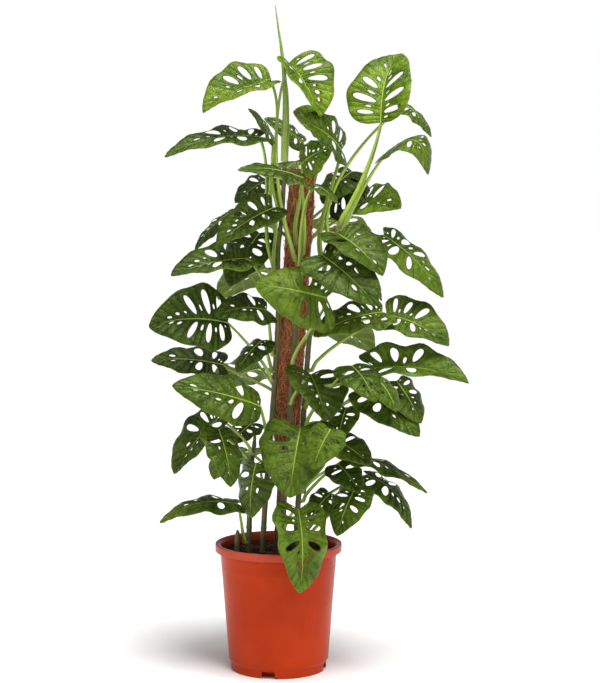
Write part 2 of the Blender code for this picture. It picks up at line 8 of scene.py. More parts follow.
import bpy
import numpy as np
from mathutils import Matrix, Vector


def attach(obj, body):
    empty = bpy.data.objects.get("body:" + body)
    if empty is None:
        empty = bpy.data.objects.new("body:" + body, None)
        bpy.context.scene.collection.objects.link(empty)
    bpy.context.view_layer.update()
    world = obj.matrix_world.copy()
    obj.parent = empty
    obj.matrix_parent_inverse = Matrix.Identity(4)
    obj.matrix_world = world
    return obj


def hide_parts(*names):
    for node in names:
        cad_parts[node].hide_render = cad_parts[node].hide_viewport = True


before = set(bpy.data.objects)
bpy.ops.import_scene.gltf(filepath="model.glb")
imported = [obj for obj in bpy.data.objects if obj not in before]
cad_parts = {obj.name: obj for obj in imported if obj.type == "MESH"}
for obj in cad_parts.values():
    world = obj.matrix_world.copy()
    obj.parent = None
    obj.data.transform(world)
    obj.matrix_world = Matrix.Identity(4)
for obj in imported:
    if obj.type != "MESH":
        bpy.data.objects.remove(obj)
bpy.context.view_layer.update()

MM = 0.001
scene = bpy.context.scene


# Studio. A far camera with a long lens, a pale floor without an edge in view, a sky that is white low down
# and dim overhead, a broad main light high on the right, a soft box above and two lamps beside.
PITCH = math.radians(4.79)
CAMERA_PLACE = (0.0407, -3.31, 0.900)
LENS_MM = 93.14
CLIP_END = 200
FLOOR_HALF = 40.0
SUN_STRENGTH = 3.5
SUN_WIDTH = math.radians(34)
SUN_FROM = (0.55, -0.85, 2.6)
SKY_FADE = {"From Min": 0.11, "From Max": 0.34, "To Min": 1.0, "To Max": 0.11}

camera = bpy.data.objects.new("camera", bpy.data.cameras.new("camera"))
camera.location = CAMERA_PLACE
camera.rotation_euler = (math.pi / 2 - PITCH, 0, 0)
camera.data.lens = LENS_MM
camera.data.clip_end = CLIP_END
scene.collection.objects.link(camera)
scene.camera = camera
scene.view_settings.view_transform = "Standard"


def soft_lamp(name, place, aim, width, watts):
    """A square area lamp that looks at a point."""
    lamp = bpy.data.lights.new(name, "AREA")
    lamp.shape = "SQUARE"
    lamp.size = width
    lamp.energy = watts
    holder = bpy.data.objects.new(name, lamp)
    holder.location = place
    holder.rotation_euler = (Vector(aim) - Vector(place)).to_track_quat("-Z", "Y").to_euler()
    scene.collection.objects.link(holder)


soft_lamp("top_lamp", (-0.2, -0.1, 3.6), (0, 0, 0.7), 2.2, 52)
soft_lamp("side_lamp", (-2.2, -1.9, 1.6), (0, 0, 0.7), 1.2, 9)
soft_lamp("front_lamp", (1.3, -2.6, 1.9), (0, 0, 0.7), 0.8, 12)
sun = bpy.data.objects.new("main_light", bpy.data.lights.new("main_light", "SUN"))
sun.data.energy = SUN_STRENGTH
sun.data.angle = SUN_WIDTH
sun.rotation_euler = (-Vector(SUN_FROM)).to_track_quat("-Z", "Y").to_euler()
scene.collection.objects.link(sun)

sky = bpy.data.worlds.new("sky")
sky.use_nodes = True
sky_height = sky.node_tree.nodes.new("ShaderNodeSeparateXYZ")
sky_fade = sky.node_tree.nodes.new("ShaderNodeMapRange")
sky_fade.interpolation_type = "SMOOTHSTEP"
for socket, value in SKY_FADE.items():
    sky_fade.inputs[socket].default_value = value
sky_way = sky.node_tree.nodes.new("ShaderNodeTexCoord")
sky.node_tree.links.new(sky_way.outputs["Generated"], sky_height.inputs["Vector"])
sky.node_tree.links.new(sky_height.outputs["Z"], sky_fade.inputs["Value"])
sky.node_tree.links.new(sky_fade.outputs["Result"], sky.node_tree.nodes["Background"].inputs["Strength"])
sky.node_tree.nodes["Background"].inputs["Color"].default_value = (1, 1, 1, 1)
scene.world = sky


class Finish:
    """A procedural material: a Principled shader and short calls that add and join nodes before it."""

    def __init__(self, name, roughness, **sockets):
        self.material = bpy.data.materials.new(name)
        self.material.use_nodes = True
        self.tree = self.material.node_tree
        self.shader = self.tree.nodes["Principled BSDF"]
        self.set("Roughness", roughness)
        for key, value in sockets.items():
            self.set(key.replace("_", " "), value)

    def join(self, value, socket):
        """Joins a node's output to a socket, or gives the socket a constant."""
        if isinstance(value, bpy.types.NodeSocket):
            self.tree.links.new(value, socket)
        else:
            socket.default_value = value

    def set(self, socket, value):
        self.join(value, self.shader.inputs[socket])

    def node(self, kind, inputs=None, **settings):
        made = self.tree.nodes.new("ShaderNode" + kind)
        for key, value in settings.items():
            setattr(made, key, value)
        for key, value in (inputs or {}).items():
            self.join(value, made.inputs[key])
        return made

    def place(self, scale=(1, 1, 1)):
        """Object coordinates, stretched."""
        spot = self.node("TexCoord").outputs["Object"]
        return self.node("Mapping", {"Vector": spot, "Scale": scale}).outputs["Vector"]

    def attribute(self, name):
        return self.node("Attribute", attribute_name=name).outputs["Vector"]

    def part(self, vector, axis):
        return self.node("SeparateXYZ", {"Vector": vector}).outputs[axis]

    def noise(self, vector, scale, detail=3.0, rough=0.55):
        return self.node("TexNoise", {"Vector": vector, "Scale": scale, "Detail": detail,
                                      "Roughness": rough}).outputs["Fac"]

    def cells(self, vector, scale, feature="DISTANCE_TO_EDGE"):
        return self.node("TexVoronoi", {"Vector": vector, "Scale": scale},
                         feature=feature).outputs["Distance"]

    def span(self, value, low, high, to_low=0.0, to_high=1.0):
        """A value taken smoothly from one range to another."""
        return self.node("MapRange", {"Value": value, "From Min": low, "From Max": high,
                                      "To Min": to_low, "To Max": to_high},
                         interpolation_type="SMOOTHSTEP").outputs["Result"]

    def sum(self, operation, first, second):
        return self.node("Math", {0: first, 1: second}, operation=operation).outputs[0]

    def scaled(self, value, factor):
        return self.sum("MULTIPLY", value, factor)

    def mix(self, share, first, second, blend="MIX"):
        first, second = ((*value, 1) if isinstance(value, tuple) else value for value in (first, second))
        return self.node("Mix", {0: share, 6: first, 7: second}, data_type="RGBA",
                         blend_type=blend).outputs[2]

    def shade(self, value, ends, first, second, shares=(0.0, 1.0)):
        """The second colour comes over the first as a value goes from one end to the other."""
        return self.mix(self.span(value, *ends, *shares), first, second)

    def colour(self, value):
        self.set("Base Color", value)

    def relief(self, height, depth_mm):
        """Bumps of that depth from a height of 0 to 1."""
        bump = self.node("Bump", {"Height": height, "Strength": 1.0, "Distance": depth_mm * MM})
        self.set("Normal", bump.outputs["Normal"])


floor_mesh = bpy.data.meshes.new("floor")
floor_mesh.from_pydata([(x * FLOOR_HALF, y * FLOOR_HALF, 0) for x, y in ((-1, -1), (1, -1), (1, 1), (-1, 1))],
                       [], [(0, 1, 2, 3)])
floor = bpy.data.objects.new("floor", floor_mesh)
paint = Finish("floor_paint", 0.6)
paint.colour(paint.mix(paint.noise(paint.place(), 1.5), (0.96, 0.96, 0.96), (0.99, 0.99, 0.99)))
floor_mesh.materials.append(paint.material)
scene.collection.objects.link(floor)


# Nursery pot. Thin orange polypropylene, moulded in one shot: a tapered wall with two faint rings under
# a rolled rim with a hanging band, and a foot ring with four drain notches round a sunken floor.
POT_TURNS = 120
RIM_RADIUS = 120 * MM
NECK_RADIUS = 111.5 * MM
POT_HEIGHT = 240 * MM
RIM_DROP = 14 * MM
FOOT_RADIUS = 90 * MM
WALL_FOOT = FOOT_RADIUS + 4.5 * MM
WALL_BOTTOM = 20 * MM
WALL_RISE = 217 * MM
WALL = 2 * MM
NOTCH_HALF = 12.5 * MM
NOTCH_HEIGHT = 13 * MM
NOTCH_TURNS = (-102, -12, 78, 168)
RING_HEIGHTS = (219 * MM, 197 * MM)
RING_SIZE = 0.8 * MM


def grid_faces(rows, columns, wrap=False):
    """The quads of a grid of points, rows by columns, its last column joined to the first if it wraps."""
    ahead = (np.arange(columns) + 1) % columns
    if not wrap:
        ahead = ahead[:-1]
    here = np.arange(len(ahead))
    start = np.arange(rows - 1)[:, None] * columns
    return np.stack([start + here, start + ahead, start + columns + ahead, start + columns + here],
                    -1).reshape(-1, 4)


def spun(radii, heights, turns):
    """Points round the upright axis: the radius times the turn's cosine and sine, at the height."""
    return np.stack(np.broadcast_arrays(radii * np.cos(turns), radii * np.sin(turns), heights), -1)


def new_piece(name, points, faces, materials, kinds=None, notes=None):
    """A mesh piece from arrays: its corners, its faces, which material each face has, and named values."""
    mesh = bpy.data.meshes.new(name)
    mesh.from_pydata(points.tolist(), [], faces.tolist())
    mesh.shade_smooth()
    for material in materials:
        mesh.materials.append(material)
    if kinds is not None:
        mesh.polygons.foreach_set("material_index", np.ascontiguousarray(kinds, np.int32))
    for key, values in (notes or {}).items():
        layer = mesh.attributes.new(key, "FLOAT_VECTOR", "POINT")
        layer.data.foreach_set("vector", np.ascontiguousarray(values, np.float32).reshape(-1))
    mesh.update()
    made = bpy.data.objects.new(name, mesh)
    scene.collection.objects.link(made)
    return made


def dress(piece, node):
    """Hangs the piece on the root body and hides the CAD node that it stands for."""
    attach(piece, "root")
    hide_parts(node)


def wall_radius(height):
    """Outside of the tapered wall: a straight line from the foot to the neck, with two low rings."""
    plain = WALL_FOOT + (NECK_RADIUS - WALL_FOOT) * (height - WALL_BOTTOM) / WALL_RISE
    rings = sum(np.exp(-((height - ring) / (2 * RING_SIZE)) ** 2) for ring in RING_HEIGHTS)
    return plain + RING_SIZE * rings


def pot_profile():
    """(radius, height) from the middle of the floor inside, over the rim, down and under to the middle."""
    rise = np.linspace(22 * MM, 237 * MM, 40)
    fall = np.linspace(236.5 * MM, 20 * MM, 70)
    lip = np.linspace(0, math.pi, 9)
    inside = np.column_stack([wall_radius(rise) - WALL, rise])
    band_edge = np.array([[NECK_RADIUS + 1.5 * MM, POT_HEIGHT - 0.3 * MM],
                          [RIM_RADIUS - 2.5 * MM, POT_HEIGHT]])
    shoulder = np.column_stack([RIM_RADIUS - 1.5 * MM + 1.5 * MM * np.sin(lip[:5]),
                                POT_HEIGHT - 1.5 * MM + 1.5 * MM * np.cos(lip[:5])])
    hem = np.column_stack([RIM_RADIUS - 1 * MM + 1 * MM * np.cos(lip),
                           POT_HEIGHT - RIM_DROP + 0.6 * MM - 0.6 * MM * np.sin(lip)])
    outside = np.column_stack([wall_radius(fall), fall])
    floor_in = [(0, 2), (60, 2), (70, 2.3), (71.5, 4), (73, 16), (74.5, 18), (90, 18), (91.5, 19.5)]
    under_rim = [(118, 236.8), (113, 236.8)]
    foot = [(92.5, 18.5), (91.5, 16.5), (90.7, 13), (90.4, 8), (90.1, 1), (89.6, 0), (88.5, 0), (88, 1),
            (88.3, 13), (88.5, 15), (87, 16), (75, 16), (74, 15), (72.6, 8), (71.5, 1), (70.5, 0), (0, 0)]
    return np.vstack([np.array(floor_in) * MM, inside, band_edge, shoulder, hem, np.array(under_rim) * MM,
                      outside, np.array(foot) * MM])


def even_turns(sides):
    return np.arange(sides) * math.tau / sides


def pot_angles():
    """Even turns, with two close ones at each side of a notch so that its cheeks are straight."""
    half = NOTCH_HALF / FOOT_RADIUS
    cheeks = [math.radians(turn) + side * half + step
              for turn in NOTCH_TURNS for side in (-1, 1) for step in (-0.002, 0.002)]
    return np.sort(np.mod(np.concatenate([even_turns(POT_TURNS), cheeks]), math.tau))


profile = pot_profile()
angles = pot_angles()
radius, height = profile.T[:, :, None]
off_notch = np.min([np.abs((angles - math.radians(turn) + math.pi) % math.tau - math.pi)
                    for turn in NOTCH_TURNS], axis=0)
in_notch = (off_notch < NOTCH_HALF / FOOT_RADIUS) & (radius > 80 * MM) & (height < NOTCH_HEIGHT)
height = np.where(in_notch, NOTCH_HEIGHT, height)
pot_points = spun(radius, height, angles).reshape(-1, 3)

plastic = Finish("pot_plastic", 0.34, Specular_IOR_Level=0.10)
spot = plastic.place()
cloud = plastic.noise(spot, 9, 4)
scuffs = plastic.noise(plastic.place((1, 1, 7)), 60, 5, 0.7)
grain = plastic.noise(spot, 1400, 2)
plain = plastic.shade(cloud, (0.35, 0.65), (0.37, 0.026, 0.001), (0.44, 0.036, 0.002))
plain = plastic.shade(plastic.part(spot, "Z"), (0.224, 0.228), plain, (0.45, 0.060, 0.030))
plastic.colour(plastic.shade(scuffs, (0.55, 0.8), plain, (0.52, 0.11, 0.03), (0, 0.16)))
plastic.set("Roughness", plastic.span(scuffs, 0.3, 0.75, 0.27, 0.42))
plastic.relief(plastic.sum("ADD", grain, plastic.scaled(cloud, 2.0)), 0.05)
dress(new_piece("nursery_pot", pot_points, grid_faces(*height.shape, wrap=True)[:, ::-1],
                [plastic.material]), "pot")


# Soil. Dark, damp, fibrous potting mix, 14 mm below the rim: a lumpy surface on a tapered body, with
# crumbs and bits of root lying on it.
SOIL_TOP = 226 * MM
SOIL_EDGE = 109 * MM
SOIL_TURNS = 96
CRUMBS = 900
BITS_OF_ROOT = 220
ROOT_STEPS = 7


def lumps(x, y):
    """Heights from -1 to 1: crossed waves of three lengths, each turned against the last."""
    height = 0
    for turn, length, share in ((0.4, 31, 0.5), (1.7, 17, 0.3), (2.9, 8.3, 0.2)):
        along = x * math.cos(turn) + y * math.sin(turn)
        across = y * math.cos(turn) - x * math.sin(turn)
        height = height + share * np.sin(along * 1000 / length) * np.cos(across * 1300 / length)
    return height


def soil_height(away, x, y):
    """The surface: it falls as the square of the way to the wall, with lumps."""
    return SOIL_TOP - 3 * MM * (away / SOIL_EDGE) ** 2 + 1.6 * MM * lumps(x, y)


turns = even_turns(SOIL_TURNS)
reach = np.concatenate([[0.2], np.linspace(3, 107.4, 44)])[:, None] * MM
crown = soil_height(reach, reach * np.cos(turns), reach * np.sin(turns))
skirt_height = np.array([220, 150, 90, 23.5, 18.6, 18.6, 2.6, 2.6])[:, None] * MM
skirt_radius = np.vstack([wall_radius(skirt_height[:4]) - WALL - 0.4 * MM,
                          np.array([90, 72.2, 69.5, 0.2])[:, None] * MM])
soil_points = np.vstack([spun(reach, crown, turns), spun(skirt_radius, skirt_height, turns)])


def closed_grid(rows, columns):
    """The triangles of a grid that wraps round, with a fan as a lid on its first and last ring."""
    quads = grid_faces(rows, columns, wrap=True)
    first = np.stack([np.zeros(columns - 2, int), np.arange(2, columns), np.arange(1, columns - 1)], -1)
    last = (rows - 1) * columns + first[:, ::-1]
    return np.vstack([quads[:, :3], quads[:, [0, 2, 3]], first, last])


def scattered(count, seed, corners, faces):
    """Copies of a small shape, each sized, turned and placed by its own random draw on the soil."""
    chance = np.random.default_rng(seed)
    size = chance.uniform(0.5, 1.5, (count, 1, 3)) * np.array([1, 0.8, 0.5])
    turn = chance.uniform(0, math.tau, count)
    away = np.sqrt(chance.uniform(0.01, 1, count)) * 103 * MM
    where = chance.uniform(0, math.tau, count)
    x, y = away * np.cos(where), away * np.sin(where)
    dents = chance.normal(0, 0.16, (count, len(corners), 3)) * size * np.ptp(corners) / 4
    shape = corners[None] * size + dents
    cos, sin = np.cos(turn)[:, None], np.sin(turn)[:, None]
    turned = np.stack([shape[..., 0] * cos - shape[..., 1] * sin, shape[..., 0] * sin + shape[..., 1] * cos,
                       shape[..., 2]], -1)
    points = turned + np.stack([x, y, soil_height(away, x, y)], -1)[:, None]
    joined = faces[None] + (np.arange(count) * len(corners))[:, None, None]
    return points.reshape(-1, 3), joined.reshape(-1, faces.shape[1])


CRUMB_SIZE = 2 * MM
crumb = np.array([(0, 0, -1), (1, 0, 0), (0.2, 1, 0.1), (-1, 0.3, -0.1), (-0.1, -1, 0), (0.1, 0, 1.1)])
crumb_faces = np.array([(0, 2, 1), (0, 3, 2), (0, 4, 3), (0, 1, 4),
                        (5, 1, 2), (5, 2, 3), (5, 3, 4), (5, 4, 1)])


def unit(vector):
    return vector / np.linalg.norm(vector, axis=-1, keepdims=True)


def tube(paths, radii, sides):
    """Closed tubes: rings of equal sides square to each path's direction, turned from one fixed vector that
    no path runs along. Gives the points by path, ring and side, and triangles."""
    ahead = unit(np.gradient(paths, axis=1))
    spread = np.einsum("pri,prj->pij", ahead, ahead)
    fixed = np.linalg.eigh(spread)[1][:, None, :, 0]
    side = unit(np.cross(ahead, fixed))
    up = np.cross(side, ahead)
    angle = even_turns(sides)[:, None]
    ring = side[:, :, None] * np.cos(angle) + up[:, :, None] * np.sin(angle)
    points = paths[:, :, None] + ring * radii[..., None, None]
    start = np.arange(len(paths)) * paths.shape[1] * sides
    faces = closed_grid(paths.shape[1], sides) + start[:, None, None]
    return points, faces.reshape(-1, 3)


def outward(points, faces):
    """The faces, turned about if they enclose a negative volume."""
    corner = points.reshape(-1, 3)[faces]
    volume = np.einsum("fi,fi->", corner[:, 0], np.cross(corner[:, 1], corner[:, 2]))
    return faces if volume > 0 else faces[:, ::-1]


def shell(name, points, faces, finish, node, notes=None):
    """A closed piece of one finish that stands for a node."""
    dress(new_piece(name, points.reshape(-1, 3), outward(points, faces), [finish.material], notes=notes),
          node)


crumb_points, crumbs = scattered(CRUMBS, 5, crumb * CRUMB_SIZE, crumb_faces)
chance = np.random.default_rng(11)
along = np.linspace(-0.5, 0.5, ROOT_STEPS)
heading = chance.uniform(0, math.tau, BITS_OF_ROOT)
bend = chance.normal(0, 0.5, BITS_OF_ROOT)
length = chance.uniform(9, 30, BITS_OF_ROOT) * MM
away = np.sqrt(chance.uniform(0.01, 1, BITS_OF_ROOT))[:, None] * 90 * MM
where = chance.uniform(0, math.tau, BITS_OF_ROOT)[:, None]
course = heading[:, None] + bend[:, None] * along * 3
root_x = away * np.cos(where) + length[:, None] * along * np.cos(course)
root_y = away * np.sin(where) + length[:, None] * along * np.sin(course)
root_z = soil_height(away, root_x, root_y) + 0.8 * MM
root_radii = np.repeat(chance.uniform(0.35, 0.8, (BITS_OF_ROOT, 1)), ROOT_STEPS, axis=1) * MM
roots, root_faces = tube(np.stack([root_x, root_y, root_z], -1), root_radii, 4)

soil_mix = Finish("soil_mix", 0.95, Specular_IOR_Level=0.2)
spot = soil_mix.place()
crumbly = soil_mix.cells(spot, 260, "F1")
fibrous = soil_mix.noise(soil_mix.place((1, 3, 1)), 420, 6, 0.7)
patch = soil_mix.noise(spot, 35, 3)
earth = soil_mix.shade(fibrous, (0.35, 0.7), (0.012, 0.005, 0.004), (0.075, 0.028, 0.018))
soil_mix.colour(soil_mix.shade(patch, (0.5, 0.7), earth, (0.11, 0.045, 0.026), (0, 0.6)))
soil_mix.relief(soil_mix.sum("ADD", fibrous, crumbly), 1.2)

shell("potting_soil", soil_points, closed_grid(len(soil_points), SOIL_TURNS), soil_mix, "soil")
shell("soil_crumbs", crumb_points, crumbs, soil_mix, "soil")

root_bark = Finish("root_brown", 0.85)
spot = root_bark.place()
root_bark.colour(root_bark.shade(root_bark.noise(spot, 30), (0.4, 0.6), (0.06, 0.022, 0.014),
                                 (0.2, 0.09, 0.045)))
root_bark.relief(root_bark.noise(spot, 900), 0.2)
shell("soil_fibres", roots, root_faces, root_bark, "soil")


# Pole. A round wooden stake pushed into the soil, with a thick sleeve of matted coir round its upper
# part: a lumpy core, and long fibres laid over it at all angles, some with an end that stands off.
STAKE_RADIUS = 10 * MM
SLEEVE_RADIUS = 25 * MM
SLEEVE_LUMPS = (0.9, 1.0, 0.96, 1.02, 0.95, 1.0, 0.9)
POLE_BOTTOM = 60 * MM
SLEEVE_BOTTOM = 432 * MM
POLE_TOP = 944 * MM
POLE_LEAN = math.atan2(46, 944 - 226)
STAKE_SIDES = 28
SLEEVE_SIDES = 64
SLEEVE_FIBRES = 3200
FIBRE_SIDES = 3
FIBRE_TAPER = (0.5, 1, 1, 1, 0.9, 0.7, 0.3)


def lean(points):
    """Tips points of an upright pole by its lean, about the place where it leaves the soil."""
    x, y, z = points[..., 0], points[..., 1], points[..., 2] - SOIL_TOP
    return np.stack([x * math.cos(POLE_LEAN) + z * math.sin(POLE_LEAN), y,
                     z * math.cos(POLE_LEAN) - x * math.sin(POLE_LEAN) + SOIL_TOP], -1)


stake_height = np.concatenate([[POLE_BOTTOM, POLE_BOTTOM],
                               np.linspace(POLE_BOTTOM, POLE_TOP + 1.5 * MM, 120),
                               [POLE_TOP + 2.7 * MM, POLE_TOP + 3 * MM]])[:, None]
stake_radius = np.concatenate([[0.1 * MM, 9 * MM], np.full(120, STAKE_RADIUS), [9.2 * MM, 0.1 * MM]])[:, None]
turns = even_turns(STAKE_SIDES)
knots = 0.25 * MM * np.sin(3 * turns + 90 * stake_height) * (stake_radius > 9.5 * MM)
stake_points = lean(spun(stake_radius + knots, stake_height, turns))
wood = Finish("stake_wood", 0.75)
streaks = wood.noise(wood.place((1, 1, 0.05)), 500, 5, 0.7)
wood.colour(wood.shade(streaks, (0.35, 0.65), (0.06, 0.017, 0.008), (0.21, 0.07, 0.03)))
wood.relief(streaks, 0.5)
stake_faces = closed_grid(len(stake_height), STAKE_SIDES)
shell("pole_stake_wood", stake_points, stake_faces, wood, "pole_stake")


def sleeve_radius(height):
    """The core's lumpy outside: the lumps joined smoothly from the top of the pole down."""
    share = (POLE_TOP - height) / (POLE_TOP - SLEEVE_BOTTOM)
    return SLEEVE_RADIUS * np.interp(share * (len(SLEEVE_LUMPS) - 1), np.arange(len(SLEEVE_LUMPS)),
                                     SLEEVE_LUMPS)


core_height = np.linspace(SLEEVE_BOTTOM, POLE_TOP, 150)[:, None]
turns = even_turns(SLEEVE_SIDES)
hollow = 1.5 * MM * lumps(turns * 0.06, core_height)
core_radius = sleeve_radius(core_height) - 1.6 * MM + hollow
bore = np.full((1, SLEEVE_SIDES), STAKE_RADIUS + 0.4 * MM)
sleeve_heights = np.vstack([[[SLEEVE_BOTTOM]], core_height, [[POLE_TOP]]])
sleeve_points = lean(spun(np.vstack([bore, core_radius, bore]), sleeve_heights, turns))
low = np.arange(SLEEVE_SIDES)
low_next = (low + 1) % SLEEVE_SIDES
high = (len(sleeve_heights) - 1) * SLEEVE_SIDES
bore_faces = np.stack([high + low, high + low_next, low_next, low], -1)
sleeve_faces = np.vstack([grid_faces(len(sleeve_heights), SLEEVE_SIDES, wrap=True), bore_faces])

coir = Finish("coir", 0.9, Specular_IOR_Level=0.25)
weave = coir.noise(coir.place((1, 1, 0.22)), 900, 6, 0.75)
patch = coir.noise(coir.place(), 26, 3)
strand = coir.shade(weave, (0.3, 0.72), (0.050, 0.013, 0.004), (0.50, 0.165, 0.050))
coir.colour(coir.mix(coir.span(patch, 0.42, 0.64), strand, (0.5, 0.2, 0.07), "SOFT_LIGHT"))
coir.relief(weave, 1.6)
shell("coir_core", sleeve_points, sleeve_faces, coir, "pole_sleeve")

chance = np.random.default_rng(23)
along = np.linspace(0, 1, len(FIBRE_TAPER))
one_each = (SLEEVE_FIBRES, 1)
start_turn = chance.uniform(0, math.tau, one_each)
start_height = chance.uniform(SLEEVE_BOTTOM, POLE_TOP - 4 * MM, one_each)
slant = chance.normal(0, 0.6, one_each)
curl = chance.normal(0, 0.8, one_each)
fibre_length = chance.uniform(14, 46, one_each) * MM
lift = chance.uniform(-0.6, 1.2, one_each) * MM
loose = np.where(chance.random(one_each) < 0.24, chance.uniform(1, 9, one_each), 0) * MM
aim = slant + curl * (along - 0.5)
fibre_height = start_height + fibre_length * along * np.cos(aim)
fibre_height = np.clip(fibre_height, SLEEVE_BOTTOM + 1 * MM, POLE_TOP + 2 * MM)
fibre_turn = start_turn + fibre_length / SLEEVE_RADIUS * along * np.sin(aim)
fibre_away = sleeve_radius(fibre_height) - 0.9 * MM + lift + loose * along ** 2.5
fibre_paths = lean(spun(fibre_away, fibre_height, fibre_turn))
fibre_radii = chance.uniform(0.22, 0.8, one_each) * MM * np.array(FIBRE_TAPER)
fibres, fibre_faces = tube(fibre_paths, fibre_radii, FIBRE_SIDES)
fibre_tone = np.repeat(chance.random(SLEEVE_FIBRES), FIBRE_SIDES * len(FIBRE_TAPER))

hair = Finish("coir_fibre", 0.7, Specular_IOR_Level=0.35)
tone = hair.part(hair.attribute("strand"), "X")
patch = hair.noise(hair.place(), 26, 3)
strand = hair.mix(hair.sum("POWER", tone, 1.6), (0.20, 0.055, 0.017), (0.95, 0.45, 0.19))
hair.colour(hair.shade(patch, (0.42, 0.64), strand, (0.70, 0.29, 0.11), (0, 0.5)))
hair.set("Roughness", hair.span(tone, 0, 1, 0.85, 0.6))
shell("coir_fibres", fibres, fibre_faces, hair, "pole_sleeve",
      {"strand": np.repeat(fibre_tone[:, None], 3, axis=1)})


# Climbing stems. Five green shoots and one cut stub, finger-thin, with a pale ring at each node where a
# leaf came off; they stand in the soil.
STEM_RADIUS = 5.5 * MM
STEM_TAPER = 0.75
NODE_GAP = 46 * MM
STEM_SIDES = 14
STEM_ROUTES = {
    "stem_left": [(-30, -26, 190), (-30, -26, 232), (-24, -31, 330), (-15, -31, 440),
                  (-6, -28, 560), (0, -27, 680), (0, -30, 790), (8, -27, 870), (12, -25, 957)],
    "stem_front": [(4, -38, 190), (4, -38, 232), (10, -37, 330), (19, -34, 440),
                   (27, -34, 580), (35, -34, 700), (44, -35, 826)],
    "stem_right": [(32, -10, 190), (32, -10, 232), (38, -15, 330), (45, -17, 440),
                   (54, -17, 580), (66, -20, 690), (86, -27, 760), (106, -34, 842)],
    "stem_back": [(4, 40, 190), (4, 40, 232), (10, 38, 330), (15, 33, 440),
                  (24, 33, 600), (34, 33, 760), (42, 34, 880)],
    "stem_young": [(-56, -22, 190), (-56, -22, 232), (-54, -24, 310), (-50, -22, 390), (-44, -18, 440)],
    "stem_stub": [(-78, -34, 190), (-78, -34, 232), (-76, -35, 272)],
}


def smooth_route(points, steps):
    """A Catmull-Rom curve: each span is the cubic through its ends whose slopes are half the chords
    between the points on either side."""
    ends = np.vstack([2 * points[0] - points[1], points, 2 * points[-1] - points[-2]])
    a, b, c, d = (ends[i:len(ends) - 3 + i, None] for i in range(4))
    t = (np.arange(steps) / steps)[None, :, None]
    curve = 0.5 * (2 * b + (c - a) * t + (2 * a - 5 * b + 4 * c - d) * t ** 2
                   + (3 * b - a - 3 * c + d) * t ** 3)
    return np.vstack([curve.reshape(-1, 3), points[-1:]])


def stem_line(name, steps=1):
    """The stem's axis: straight in the soil, then a smooth curve."""
    points = np.array(STEM_ROUTES[name]) * MM
    return np.vstack([points[:1], smooth_route(points[1:], steps)])


def stem_radius(name, height):
    """Radius at a height, a little thinner towards the tip."""
    low, high = STEM_ROUTES[name][0][2] * MM, STEM_ROUTES[name][-1][2] * MM
    share = np.clip((height - low) / (high - low), 0, 1)
    return STEM_RADIUS * (1 - (1 - STEM_TAPER) * share ** 2)


stem_skin = Finish("stem_skin", 0.45)
ring = stem_skin.part(stem_skin.attribute("stem_place"), "X")
streaks = stem_skin.noise(stem_skin.place((1, 1, 0.12)), 420, 4, 0.65)
green = stem_skin.shade(streaks, (0.3, 0.7), (0.038, 0.062, 0.006), (0.095, 0.135, 0.016))
brown = stem_skin.mix(streaks, (0.07, 0.040, 0.014), (0.20, 0.13, 0.05))
skin = stem_skin.shade(stem_skin.noise(stem_skin.place(), 60, 3), (0.42, 0.58), green, brown)
stem_skin.colour(stem_skin.shade(ring, (0.25, 0.9), skin, brown))
stem_skin.relief(streaks, 0.35)


def stem_piece(name):
    """The shoot as a tube whose radius swells by up to 0.9 mm at each node."""
    line = stem_line(name, 10)
    line = np.vstack([line[0], line[0] + (line[1] - line[0]) * 0.5, line[1:]])
    climbed = np.concatenate([[0], np.cumsum(np.linalg.norm(np.diff(line, axis=0), axis=1))])
    even = np.linspace(0, climbed[-1], int(climbed[-1] / (3.2 * MM)))
    line = np.stack([np.interp(even, climbed, line[:, k]) for k in range(3)], -1)
    past = (even + 8 * MM) % NODE_GAP / MM
    ring = np.exp(-(np.minimum(past, NODE_GAP / MM - past) / 1.8) ** 2)
    radii = stem_radius(name, line[:, 2]) - 0.1 * MM + 0.9 * MM * ring
    radii[-3:] *= (0.93, 0.7, 0.02)
    points, faces = tube(line[None], radii[None], STEM_SIDES)
    place = np.repeat(np.stack([ring, even, even], -1), STEM_SIDES, axis=0)
    shell(f"{name}_shoot", points, faces, stem_skin, name, {"stem_place": place})


for name in STEM_ROUTES:
    stem_piece(name)


# Leaves. Each is a thin heart-shaped blade with oval holes between its side veins, glossy and quilted
# above, matt and paler below, on a long grooved stalk that grows from a stem and runs on as the midrib.
BLADE = 0.7 * MM
CLEAR = 0.3 * MM
STALK_START = 3.0 * MM
STALK_END = 1.9 * MM
STALK_SWELL = 1.28
THICK_STALKS = {"upper_shield": 5.2 * MM, "upper_right": 4.2 * MM, "crown_right": 3.6 * MM,
                "top_mid": 4.0 * MM, "crown_pale": 3.8 * MM, "crown_edge": 3.6 * MM,
                "crown_edge_right": 3.4 * MM}
STALK_SQUARE = 4 * MM
STALK_PULL = 0.3
STALK_STEPS = 26
STALK_SIDES = 10
LOBE = 0.45
LOBES = {"upper_shield": 0.1, "centre_front": 0.85, "right_two": 0.8, "front_big": 0.6, "left_big": 0.15,
         "left_front": 0.1, "top_left": 0.2, "top_mid": 0.1}
HOLED = {1: (0.32, 0.50), 2: (0.24, 0.58), 3: (0.20, 0.64)}
HOLE_HALF_LENGTH, HOLE_HALF_WIDTH = 0.30, 0.20
HOLE_MIDDLE = 0.47
CELL_ROWS, CELL_COLUMNS = 5, 14
SMALL_HOLE_CHANCE = 0.5
CURL = math.radians(14)
WAVE, WAVES = 0.028, 2.6
QUILT = 3.0 * MM
PUCKER = 0.9 * MM
UNEVEN = 0.022
